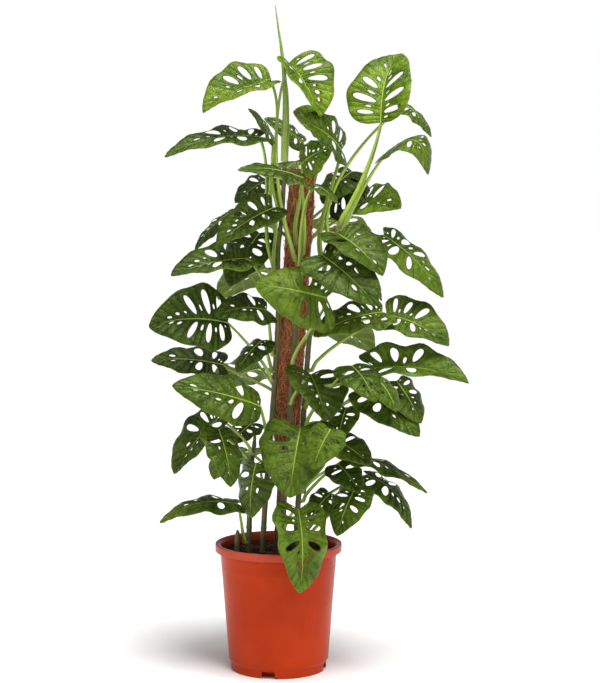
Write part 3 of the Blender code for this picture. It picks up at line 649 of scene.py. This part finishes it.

# One row a leaf: name, stem, height on it, side that the stalk leaves from in degrees (None is towards
# the blade), joint and tip in mm, half width in mm, turn from the front and fold in degrees, sideways
# bend and arch in leaf lengths, holes in each half, and tone from dark 0 to light 1. The tone is partly
# the leaf's age, young leaves paler, and partly painted shade and light: dark where other leaves shade
# a leaf, light where the light falls on it.
LEAVES = [
    ("top_left", "left", 826, 200, (-12, -20, 1104), (-136, -60, 1046), 60, 51, 36, 0.06, 0.06, 3, 0.6),
    ("top_mid", "front", 775, 215, (20, -13, 1139), (77, -65, 1038), 62, 40, 46, 0, 0.08, 3, 0.68),
    ("upper_left", "left", 765, 190, (-34, -22, 1003), (-205, -80, 965), 50, 66, 16, 0.03, 0.08, 3, 0.25),
    ("upper_left_edge", "left", 871, 195, (-10, 26, 1000), (-56, 0, 1056), 40, 78, 10, 0, 0.05, 1, 0.5),
    ("upper_shield", "right", 838, 0, (190, -30, 1030), (224, 50, 1160), 68, 35, 28, 0, 0.12, 3, 0.68),
    ("upper_right", "right", 790, 25, (206, -20, 978), (276, -50, 934), 46, 55, 5, 0, 0.55, 3, 0.45),
    ("upper_right_back", "right", 812, 135, (238, 30, 1065), (286, 20, 1005), 36, 69, 3, 0, 0.1, 2, 0.5),
    ("crown_right", "right", 770, 150, (116, -30, 980), (37, -90, 1032), 52, 52, 21, 0, 0.1, 2, 0.3),
    ("crown_pale", "front", 790, -60, (45, -44, 956), (101, -70, 986), 36, 30, 0, 0, 0.1, 1, 0.75),
    ("right_pale", "back", 790, 30, (157, 36, 884), (227, -40, 872), 48, 44, 20, 0, 0.08, 2, 0.8),
    ("mid_right_upper", "right", 821, -115, (113, -88, 824), (188, -142, 752), 56, 50, 24, 0, 0.08, 1, 0.25),
    ("mid_right_fold", "right", 760, -90, (116, -50, 800), (190, -58, 702), 38, 70, 15, 0, 0.1, 2, 0.2),
    ("far_right", "back", 720, 20, (198, 10, 821), (308, -15, 706), 48, 53, 7, 0, 0.08, 3, 0.45),
    ("mid_dark", "front", 740, -70, (81, -115, 788), (178, -165, 700), 58, 35, 18, 0, 0.06, 1, 0.15),
    ("centre_front", "front", 575, -100, (88, -121, 712), (-40, -140, 737), 64, 26, -4, 0, 0.06, 2, 0.48),
    ("right_one", "right", 570, 0, (202, -20, 674), (316, -50, 618), 58, 52, 25, 0.05, 0.06, 3, 0.4),
    ("right_two", "right", 520, -20, (181, -44, 575), (349, -95, 553), 62, 62, 31, 0.05, 0.06, 3, 0.42),
    ("mid_mottled", "right", 640, -30, (192, -60, 681), (66, -110, 640), 50, 56, 14, 0, 0.08, 2, 0.45),
    ("low_right_round", "right", 464, -60, (135, -123, 588), (174, -186, 530), 42, 37, 4, 0, 0.1, 1, 0.25),
    ("low_right_gloss", "right", 501, -75, (176, -127, 568), (213, -162, 510), 40, 54, 0, 0, 0.1, 1, 0.4),
    ("low_right_holes", "right", 438, 15, (219, -74, 555), (262, -97, 480), 44, 48, 4, 0, 0.05, 2, 0.3),
    ("low_right_tip", "right", 430, -40, (161, -70, 539), (258, -115, 458), 52, 50, 8, 0, 0.06, 2, 0.3),
    ("mid_holes", "front", 510, -80, (60, -55, 565), (86, -130, 488), 62, 38, 25, 0, 0.06, 2, 0.25),
    ("left_big", "left", 552, -130, (-94, -33, 660), (-238, -60, 655), 66, 26, 26, 0.06, 0.05, 3, 0.05),
    ("left_behind", "back", 500, 150, (-108, 35, 575), (-241, 20, 584), 52, 61, 11, 0, 0.06, 2, 0.08),
    ("left_front", "left", 430, None, (-33, -90, 511), (-190, -140, 554), 52, 43, 5, 0, 0.06, 1, 0.32),
    ("left_dark", "left", 600, None, (-22, -45, 684), (-114, -85, 676), 46, 54, 13, 0.05, 0.08, 1, 0.1),
    ("left_hanging", "left", 570, None, (-30, -40, 627), (-75, -75, 572), 40, 59, 3, 0, 0.06, 1, 0.12),
    ("low_left_outer", "young", 412, 250, (-113, -14, 478), (-194, -40, 377), 54, 56, 25, 0, 0.06, 2, 0.2),
    ("low_left_mid", "young", 394, None, (-108, -100, 468), (-86, -142, 370), 46, 50, 8, 0, 0.06, 1, 0.25),
    ("low_left_inner", "young", 430, 90, (-50, 18, 465), (-91, -10, 426), 38, 57, 10, 0, 0.06, 2, 0.15),
    ("soil_left", "young", 245, None, (-79, -35, 320), (-220, -65, 289), 44, 76, 6, 0.04, 0.12, 1, 0.4),
    ("low_centre", "left", 330, None, (-40, -71, 402), (-50, -90, 303), 52, 45, 0, 0, 0.06, 1, 0.3),
    ("front_big", "front", 410, None, (41, -107, 471), (23, -175, 356), 70, 15, 15, 0, 0.06, 1, 0.35),
    ("front_low", "front", 260, None, (37, -125, 325), (40, -160, 179), 56, 33, 16, 0, 0.08, 3, 0.52),
    ("low_right_long", "right", 322, 10, (135, -20, 410), (278, -50, 342), 40, 80, 6, 0, 0.08, 2, 0.35),
    ("low_right_drop", "right", 280, 30, (167, -10, 370), (250, -25, 271), 42, 65, 1, 0.1, 0.12, 2, 0.25),
    ("low_right_small", "right", 370, -60, (105, -70, 444), (168, -110, 405), 44, 55, 12, 0, 0.08, 1, 0.25),
    ("low_right_dark", "right", 340, -20, (112, -60, 398), (150, -88, 350), 38, 45, 8, 0, 0.08, 1, 0.05),
    ("low_right_cut", "right", 229, -40, (145, -65, 357), (109, -100, 272), 44, 42, 3, 0, 0.06, 3, 0.35),
    ("crown_edge", "front", 805, 200, (41, -96, 929), (-71, -118, 941), 46, 72, 9, 0, 0.08, 2, 0.25),
    ("crown_edge_right", "front", 768, -85, (66, -84, 915), (108, -100, 881), 34, 74, 8, 0, 0.1, 1, 0.35),
    ("low_mid_small", "right", 400, -60, (126, -70, 505), (112, -95, 447), 34, 40, 10, 0, 0.06, 1, 0.25),
    ("front_pale", "front", 350, -60, (94, -185, 480), (64, -200, 412), 38, 30, 8, 0, 0.08, 1, 0.38),
    ("soil_back", "right", 240, -50, (97, -30, 338), (59, -50, 289), 36, 45, 6, 0, 0.08, 1, 0.25),
    ("upper_left_dark", "left", 860, 150, (-12, 26, 929), (-80, 0, 882), 40, 54, 12, 0, 0.06, 2, 0.12),
    ("upper_left_mid", "left", 740, 220, (-9, -58, 873), (-110, -95, 806), 50, 49, 22, 0, 0.06, 3, 0.2),
    ("upper_left_narrow", "back", 800, 160, (-87, 30, 865), (-156, 10, 794), 36, 68, 4, 0, 0.08, 2, 0.15),
    ("mid_left", "left", 700, None, (-53, -55, 780), (-194, -95, 750), 54, 59, 25, 0, 0.06, 3, 0.2),
]

# The same for the leaves that are one body with the back stem
BACK_LEAVES = [
    ("crown_top", "back", 868, 0, (82, 10, 1027), (28, -10, 1050), 34, 40, 10, 0, 0.1, 1, 0.6),
    ("crown_dark", "back", 810, 0, (139, 40, 940), (84, 10, 880), 46, 50, 8, 0, 0.08, 1, 0.1),
    ("right_dark", "back", 830, 20, (105, 40, 890), (172, 10, 905), 50, 40, 10, 0, 0.08, 2, 0.1),
    ("mid_left_dark", "back", 700, 170, (-36, 20, 825), (-92, -15, 727), 52, 36, 9, 0, 0.06, 2, 0.05),
    ("upper_back_left", "back", 860, 90, (46, 70, 996), (-27, 50, 1040), 44, 66, 9, 0, 0.05, 1, 0.35),
    ("back_one", "back", 570, 70, (85, 105, 650), (185, 185, 585), 58, 130, 15, 0, 0.08, 1, 0.4),
    ("back_two", "back", 480, 120, (-35, 120, 560), (-140, 190, 500), 58, 130, 15, 0, 0.08, 2, 0.3),
    ("back_three", "back", 680, 120, (-25, 115, 755), (-120, 180, 690), 55, 130, 15, 0, 0.08, 1, 0.4),
    ("back_four", "back", 770, 60, (95, 105, 850), (175, 185, 790), 52, 130, 15, 0, 0.08, 2, 0.5),
    ("back_five", "back", 400, 80, (55, 130, 450), (115, 210, 370), 56, 130, 15, 0, 0.08, 2, 0.35),
    ("back_six", "back", 330, 110, (-60, 110, 400), (-130, 185, 330), 52, 130, 15, 0, 0.08, 1, 0.3),
    ("back_seven", "back", 850, 100, (35, 105, 960), (5, 190, 930), 46, 120, 15, 0, 0.08, 1, 0.6),
]


def heart_margin(t, lobe):
    """Half a heart: along runs from 0 to 1 as half a cosine wave, drawn back by the lobe near the joint;
    out is a sine swell that narrows towards the tip."""
    swell = np.sin(math.pi * t)
    skew = 0.25 if lobe > 0 else -0.2
    along = (1 - np.cos(math.pi * t)) / 2 - lobe * swell * (1 - t) ** 2
    out = swell ** (0.75 + 0.5 * t) * (1 + skew * np.cos(math.pi * t)) * (1 - 0.4 * t ** 3)
    return along, out


def on_vein(t, share, lobe):
    """A point on a side vein of the flat leaf: from the midrib at t to the power 1.75 to the margin at t."""
    foot = t ** 1.75
    along, out = heart_margin(t, lobe)
    return foot + (along - foot) * share, out * share


def plain_cell(rows, columns):
    """A grid over the stretch between two veins: across from 0 to 1, share from midrib 0 to margin 1."""
    across, share = np.meshgrid(np.linspace(0, 1, rows + 1), np.linspace(0, 1, columns + 1))
    return across, share, np.zeros(across.shape)


def holed_cell(rows, columns, middle, half_width, half_length, rings=4):
    """The same stretch round an oval hole: rings that pass evenly from the stretch's border to the oval."""
    a = np.concatenate([np.arange(rows) / rows, np.ones(columns), 1 - np.arange(rows) / rows,
                        np.zeros(columns), [0]])
    b = np.concatenate([np.zeros(rows), np.arange(columns) / columns, np.ones(rows),
                        1 - np.arange(columns) / columns, [0]])
    angle = np.arctan2((a - 0.5) / 0.5, (b - middle) / np.where(b > middle, 1 - middle, middle))
    oval_a = 0.5 + half_width * np.sin(angle)
    oval_b = middle + half_length * np.cos(angle)
    pull = np.linspace(0, 1, rings + 1)[:, None] ** 0.85
    return a + (oval_a - a) * pull, b + (oval_b - b) * pull, pull + 0 * a


def half_leaf(holes, chance):
    """Cells of half a leaf from joint to tip: margin place t, share, vein number, hump and nearness to a
    hole. Wide stretches hold the big holes; between them lie slim ones that may have a small hole."""
    first, last = HOLED[holes]
    step = (last - first) / holes
    middles = first + step * (np.arange(holes) + 0.5)
    wide = np.stack([middles - 0.35 * step, middles + 0.35 * step], -1).reshape(-1)
    below = np.linspace(0, wide[0], 2 + round(wide[0] / 0.1))[:-1]
    above = wide[-1] + (1 - wide[-1]) * np.array([0.15, 0.36, 0.56, 0.75, 1.0])
    borders = np.concatenate([below, wide, above])
    cells = []
    for number, (start, end) in enumerate(zip(borders[:-1], borders[1:])):
        middle = (start + end) / 2
        if np.min(np.abs(middle - middles)) < 1e-6:
            grow = chance.uniform(0.8, 1.15, 2)
            across, share, rim = holed_cell(CELL_ROWS, CELL_COLUMNS, HOLE_MIDDLE,
                                            HOLE_HALF_WIDTH / 0.7 * grow[0], HOLE_HALF_LENGTH * grow[1])
        elif number and middle < 0.82 and chance.random() < SMALL_HOLE_CHANCE:
            across, share, rim = holed_cell(CELL_ROWS - 1, CELL_COLUMNS, chance.uniform(0.22, 0.4),
                                            chance.uniform(0.15, 0.3), chance.uniform(0.05, 0.13))
        else:
            across, share, rim = plain_cell(CELL_ROWS, CELL_COLUMNS)
        hump = np.full(across.shape, min(1.0, (end - start) / 0.1))
        cells.append((start + (end - start) * across, share, number + across, hump, rim))
    return cells


def leaf_sheet(row, chance):
    """Both halves as one flat mesh: its points (along, out), their (vein, share, hump, rim), triangles all
    wound one way, with points that meet made one and slivers left out."""
    lobe = LOBES.get(row[0], LOBE)
    plans, marks, faces, count = [], [], [], 0
    for side in (1, -1):
        for t, share, vein, hump, rim in half_leaf(row[11], chance):
            along, out = on_vein(t, share, lobe)
            plans.append(np.stack([along, side * out], -1).reshape(-1, 2))
            marks.append(np.stack([vein, share, hump, rim], -1).reshape(-1, 4))
            quads = grid_faces(*t.shape) + count
            faces.append(np.vstack([quads[:, :3], quads[:, [0, 2, 3]]])[:, ::side])
            count += t.size
    plan, mark, triangles = np.vstack(plans), np.vstack(marks), np.vstack(faces)
    _, kept, index = np.unique(np.round(plan * 1e5).astype(int), axis=0, return_index=True,
                               return_inverse=True)
    plan, mark, triangles = plan[kept], mark[kept], index.reshape(-1)[triangles]
    a, b, c = (plan[triangles[:, k]] for k in range(3))
    area = (b - a)[:, 0] * (c - a)[:, 1] - (b - a)[:, 1] * (c - a)[:, 0]
    return plan, mark, triangles[np.abs(area) > 1e-9]


def leaf_frame(row):
    """Joint, length, and the midrib's, upper side's and right side's directions."""
    joint, tip = np.array(row[4]) * MM, np.array(row[5]) * MM
    turn = math.radians(row[7])
    run = unit(tip - joint)
    front = unit(np.array([0, -1, 0]) + run * run[1])
    rise = np.cross(front, run) * (1 if run[0] > 0 else -1)
    normal = front * math.cos(turn) + rise * math.sin(turn)
    return joint, np.linalg.norm(tip - joint), run, normal, np.cross(normal, run)


def in_space(row, along, out, bulge):
    """The flat leaf's points in space: the midrib arches and bends as a parabola, the halves fold up
    along it and droop towards the margin, the margin waves as a sine, and the bulge stands on top."""
    joint, length, run, normal, side = leaf_frame(row)
    half, fold, bend, arch = row[6] * MM, math.radians(row[8]), row[9], row[10]
    along, out, bulge = (np.asarray(value)[..., None] for value in (along, out, bulge))
    bow, slope = 4 * along * (1 - along), 4 * (1 - 2 * along)
    sense = 1 if run[0] > 0 else -1
    spine = joint + length * (run * along + normal * arch * bow + side * sense * bend * bow)
    lift = unit(normal - run * arch * slope)
    angle = fold - CURL * np.abs(out)
    wave = WAVE * length * out ** 2 * np.sin(math.tau * WAVES * along + np.where(out > 0, 1, 3))
    return (spine + side * (out * half * np.cos(angle))
            + lift * (np.abs(out) * half * np.sin(angle) + wave + bulge))


def quilt(plan, mark, size):
    """How far the blade stands up: a sine hump between two veins, none at the midrib, less at the margin,
    and a margin that rolls under, all of it puckered by crossed waves."""
    vein, share, hump, _ = mark.T
    rise = np.abs(np.sin(math.pi * vein)) ** 0.7 * np.clip(share, 0, 1) ** 0.5 * (1 - 0.6 * share ** 3)
    pucker = PUCKER * lumps(plan[:, 0] * 0.13, plan[:, 1] * 0.05) * np.clip(share * 4, 0, 1)
    return size * (QUILT * hump * rise + pucker - 1.3 * MM * share ** 7)


def two_sided(points, faces):
    """A sheet given its thickness: both faces half of it off along the mean normal, and a rim."""
    corner = points[faces]
    flat = np.cross(corner[:, 1] - corner[:, 0], corner[:, 2] - corner[:, 0])
    normal = np.zeros_like(points)
    for k in range(3):
        np.add.at(normal, faces[:, k], flat)
    normal = unit(normal) * BLADE / 2
    edges = np.vstack([faces[:, [0, 1]], faces[:, [1, 2]], faces[:, [2, 0]]])
    _, first, uses = np.unique(np.sort(edges, axis=1), axis=0, return_index=True, return_counts=True)
    rim = edges[first[uses == 1]]
    count = len(points)
    rims = np.vstack([np.stack([rim[:, 1], rim[:, 0], rim[:, 0] + count], -1),
                      np.stack([rim[:, 1], rim[:, 0] + count, rim[:, 1] + count], -1)])
    joined = np.vstack([faces, faces[:, ::-1] + count, rims])
    kinds = np.concatenate([np.zeros(len(faces)), np.ones(len(faces) + len(rims))])
    return np.vstack([points + normal, points - normal]), joined, kinds


def stalk_line(row):
    """The stalk's axis: out of the stem squarely, then a cubic curve that arrives at the joint half
    along the midrib, and on as the midrib to near the tip, just under the blade's upper face."""
    stem, height, side_turn = f"stem_{row[1]}", row[2] * MM, row[3]
    joint, _, run, normal, _ = leaf_frame(row)
    line = stem_line(stem)
    upper = np.argmax(line[:, 2] >= height)
    low, high = line[upper - 1], line[upper]
    foot = low + (high - low) * (height - low[2]) / (high[2] - low[2])
    away = joint - foot
    azimuth = math.atan2(away[1], away[0]) if side_turn is None else math.radians(side_turn)
    climb = unit(high - low)
    leave = np.array([math.cos(azimuth), math.sin(azimuth), 0])
    leave = unit(leave - climb * leave.dot(climb))
    start = foot + leave * (stem_radius(stem, height) + 1.2 * CLEAR)
    reach = np.linalg.norm(joint - start)
    arriving = unit(run * 0.5 + normal * 0.5 + unit(joint - start))
    first = start + (leave * 0.5 + np.array([0, 0, 0.8])) * reach * STALK_PULL
    second = joint - arriving * reach * STALK_PULL
    t = np.linspace(0.12, 1, STALK_STEPS)[:, None]
    curve = (start * (1 - t) ** 3 + 3 * first * t * (1 - t) ** 2 + 3 * second * t ** 2 * (1 - t)
             + joint * t ** 3)
    root = np.stack([foot + leave * 2 * MM, start, start + leave * STALK_SQUARE])
    along = np.linspace(0.04, 0.97, STALK_STEPS)
    rib = in_space(row, along, 0 * along, 0 * along + 0.1 * MM)
    return np.vstack([root, curve, rib]), len(root) + len(curve)


def stalk_radii(row, count, to_joint):
    """From the thick foot evenly to the joint with a slight knee there, then the midrib's quick taper."""
    share = np.linspace(0, 1, to_joint)
    foot = STALK_SWELL * THICK_STALKS.get(row[0], STALK_START)
    stalk = np.linspace(foot, 1.15 * STALK_END, to_joint)
    stalk = stalk * (1 + 0.16 * np.exp(-((share - 0.95) / 0.04) ** 2)) * (1 + 0.2 * np.exp(-share / 0.05))
    rib = np.linspace(1.5 * MM, 0.35 * MM, count - to_joint)
    return np.concatenate([stalk, rib])


top = Finish("leaf_top", 0.35, Specular_IOR_Level=0.36, Specular_Tint=(0.78, 1.0, 0.42, 1.0))
mark = top.attribute("leaf_place")
vein, share, tone = (top.part(mark, axis) for axis in "XYZ")
rim = top.part(top.attribute("leaf_rim"), "X")
spot = top.place()
off_vein = top.sum("PINGPONG", vein, 0.5)
side_vein = top.span(off_vein, 0.008, 0.055, 1, 0)
net = top.span(top.cells(spot, 300), 0, 0.2, 1, 0)
cloud = top.noise(spot, 20, 4)
speckle = top.noise(spot, 260, 3, 0.7)
pucker = top.noise(spot, 120, 2, 0.5)
dark = top.shade(cloud, (0.35, 0.65), (0.003, 0.010, 0.0001), (0.016, 0.038, 0.0003))
light = top.shade(cloud, (0.35, 0.65), (0.075, 0.175, 0.003), (0.310, 0.480, 0.020))
# The tone picks between the dark and light greens. It is partly the leaf's age and partly painted shade and
# light on the whole leaf.
green = top.mix(top.sum("POWER", tone, 1.6), dark, light)
green = top.shade(speckle, (0.3, 0.75), green, (0.075, 0.145, 0.004), (0, 0.18))
# Painted light: paler towards the crest of the hump between two side veins.
green = top.shade(off_vein, (0.1, 0.5), green, top.mix(0.5, green, (0.16, 0.24, 0.012)), (0, 0.22))
# Painted shade: darker in the hollows of the puckers, where the same noise that raises the bumps is low.
green = top.shade(pucker, (0.38, 0.62), green, top.mix(0.55, green, (0.003, 0.008, 0.001)), (0.5, 0))
pale = top.mix(tone, (0.10, 0.15, 0.012), (0.27, 0.36, 0.045))
deep = top.mix(tone, (0.006, 0.011, 0.001), (0.026, 0.042, 0.003))
# Laid on in turn: the pale vein net; painted shade, darker along the sunken side veins; the pale midrib; a
# dark rim round each hole; and the pale margin.
for part, laid in ((top.scaled(net, 0.16), pale), (top.scaled(side_vein, 0.16), deep),
                   (top.span(share, 0.015, 0.05, 0.85, 0), pale), (top.span(rim, 0.72, 1.0, 0, 0.75), deep),
                   # The pale margin is partly the leaf's own colour and partly a painted highlight along the
                   # edge.
                   (top.span(share, 0.965, 0.99, 0, 0.6), pale)):
    green = top.mix(part, green, laid)
top.colour(green)
top.set("Roughness", top.span(top.noise(spot, 45, 3), 0.35, 0.7, 0.18, 0.33))
crease = top.sum("ADD", top.scaled(side_vein, -1.0), top.scaled(net, -0.35))
bumps = top.sum("ADD", top.scaled(speckle, 0.4), top.scaled(pucker, 3.4))
top.relief(top.sum("ADD", crease, bumps), 0.8)

under = Finish("leaf_underside", 0.6, Specular_IOR_Level=0.2)
mark = under.attribute("leaf_place")
vein, tone = (under.part(mark, axis) for axis in "XZ")
spot = under.place()
side_vein = under.span(under.sum("PINGPONG", vein, 0.5), 0.015, 0.07, 1, 0)
net = under.span(under.cells(spot, 330), 0, 0.14, 1, 0)
cloud = under.noise(spot, 24, 4)
# The underside's green by the leaf's tone: partly the leaf's age, partly painted shade and light.
under_old_and_shaded = under.shade(cloud, (0.35, 0.65), (0.040, 0.075, 0.007), (0.075, 0.125, 0.012))
under_young_and_lit = under.shade(cloud, (0.35, 0.65), (0.130, 0.20, 0.016), (0.21, 0.29, 0.030))
lines = under.sum("MAXIMUM", side_vein, under.scaled(net, 0.35))
under.colour(under.mix(under.scaled(lines, 0.6), under.mix(tone, under_old_and_shaded, under_young_and_lit), (0.25, 0.33, 0.075)))
under.relief(lines, 0.5)

rind = Finish("leaf_stalk", 0.38)
mark = rind.attribute("leaf_place")
run, ridge, tone = (rind.part(mark, axis) for axis in "XYZ")
streaks = rind.noise(rind.place((1, 1, 0.15)), 500, 4, 0.6)
# The stalk's green by its leaf's tone: partly the leaf's age, partly painted shade and light.
stalk_old_and_shaded = rind.shade(streaks, (0.3, 0.7), (0.085, 0.15, 0.008), (0.15, 0.24, 0.014))
stalk_young_and_lit = rind.shade(streaks, (0.3, 0.7), (0.26, 0.40, 0.022), (0.40, 0.55, 0.055))
# Painted highlight: paler stripes along the stalk's ridges. Painted shade: darker along its grooves.
skin = rind.shade(ridge, (0.2, 1.0), rind.mix(tone, stalk_old_and_shaded, stalk_young_and_lit), (0.50, 0.63, 0.14), (0, 0.6))
skin = rind.shade(ridge, (-1.0, -0.2), skin, (0.035, 0.065, 0.004), (0.6, 0))
rind.colour(rind.shade(run, (0, 0.12), skin, (0.2, 0.14, 0.06), (0.7, 0)))
rind.relief(streaks, 0.25)


def leaf_piece(row, seed, node):
    """Blade and stalk as one mesh; the stalk's groove is a cosine of twice the turn round it."""
    chance = np.random.default_rng(seed)
    plan, mark, triangles = leaf_sheet(row, chance)
    phase = chance.uniform(0, math.tau, 2)
    uneven = 1 + UNEVEN * (np.sin(9 * plan[:, 0] + phase[0]) + np.sin(17 * plan[:, 0] + phase[1]))
    size = min(1, math.dist(row[4], row[5]) / 130)
    points = in_space(row, plan[:, 0], plan[:, 1] * uneven, quilt(plan, mark, size))
    points, faces, kinds = two_sided(points, triangles)
    place = np.tile(np.column_stack([mark[:, :2], np.full(len(mark), row[12])]), (2, 1))
    rim = np.tile(mark[:, [3, 2, 2]], (2, 1))

    line, to_joint = stalk_line(row)
    radii = stalk_radii(row, len(line), to_joint)
    stalk, stalk_faces = tube(line[None], radii[None], STALK_SIDES)
    groove = np.cos(2 * (even_turns(STALK_SIDES) + chance.uniform(0, math.tau)))
    stalk = line[:, None] + (stalk[0] - line[:, None]) * (1 + 0.13 * groove[:, None])
    stalk_faces = outward(stalk, stalk_faces)
    climbed = np.repeat(np.linspace(0, len(line) / to_joint, len(line)), STALK_SIDES)
    stalk_place = np.column_stack([climbed, np.tile(groove, len(line)),
                                   np.full(len(climbed), 0.5 + 0.5 * row[12])])

    piece = new_piece(f"{row[0]}_leaf", np.vstack([points, stalk.reshape(-1, 3)]),
                      np.vstack([faces, stalk_faces + len(points)]),
                      [top.material, under.material, rind.material],
                      np.concatenate([kinds, np.full(len(stalk_faces), 2)]),
                      {"leaf_place": np.vstack([place, stalk_place]),
                       "leaf_rim": np.vstack([rim, 0 * stalk_place])})
    dress(piece, node)


for seed, row in enumerate(LEAVES):
    leaf_piece(row, 100 + seed, f"leaf_{row[0]}")
for seed, row in enumerate(BACK_LEAVES):
    leaf_piece(row, 300 + seed, "stem_back")


# Newest leaf. Still rolled tight into a green spike on the tip of the left stem, its free edge a fine
# seam that winds up round it.
SPIRE_ROUTE = [(12, -25, 957), (14, -23, 1015), (14, -21, 1075), (9, -16, 1146), (1, -12, 1201),
               (-5, -9, 1246)]
SPIRE_RADII = (7.0, 7.2, 5.4, 3.2, 1.8, 0.7)
SPIRE_SIDES = 28
SEAM_TURNS = 2.2

spire_line = smooth_route(np.array(SPIRE_ROUTE) * MM, 20)
spire_share = np.linspace(0, 1, len(spire_line))
spire_radii = np.interp(spire_share, np.linspace(0, 1, len(SPIRE_RADII)), SPIRE_RADII) * MM
spire_radii[0] = 0.3 * MM
spire_points, spire_faces = tube(spire_line[None], spire_radii[None], SPIRE_SIDES)
seam_turn = (np.arange(SPIRE_SIDES) / SPIRE_SIDES - SEAM_TURNS * spire_share[:, None]) % 1
swell = 1 + 0.16 * (1 - seam_turn) ** 6 - 0.05 * seam_turn ** 3
spire_points = spire_line[:, None] + (spire_points[0] - spire_line[:, None]) * swell[..., None]
spire_place = np.stack([seam_turn, np.repeat(spire_share[:, None], SPIRE_SIDES, axis=1), seam_turn], -1)

spike = Finish("spire_skin", 0.38)
seam, climb = (spike.part(spike.attribute("spire_place"), axis) for axis in "XY")
streaks = spike.noise(spike.place((1, 1, 0.08)), 700, 4, 0.6)
green = spike.shade(streaks, (0.3, 0.7), (0.14, 0.22, 0.020), (0.25, 0.35, 0.045))
green = spike.shade(climb, (0.0, 0.5), green, (0.36, 0.46, 0.09), (0.7, 0))
spike.colour(spike.shade(seam, (0.0, 0.06), green, (0.42, 0.52, 0.14), (0.7, 0)))
spike.relief(streaks, 0.25)
shell("rolled_leaf_spike", spire_points, spire_faces, spike, "rolled_leaf",
      {"spire_place": spire_place})
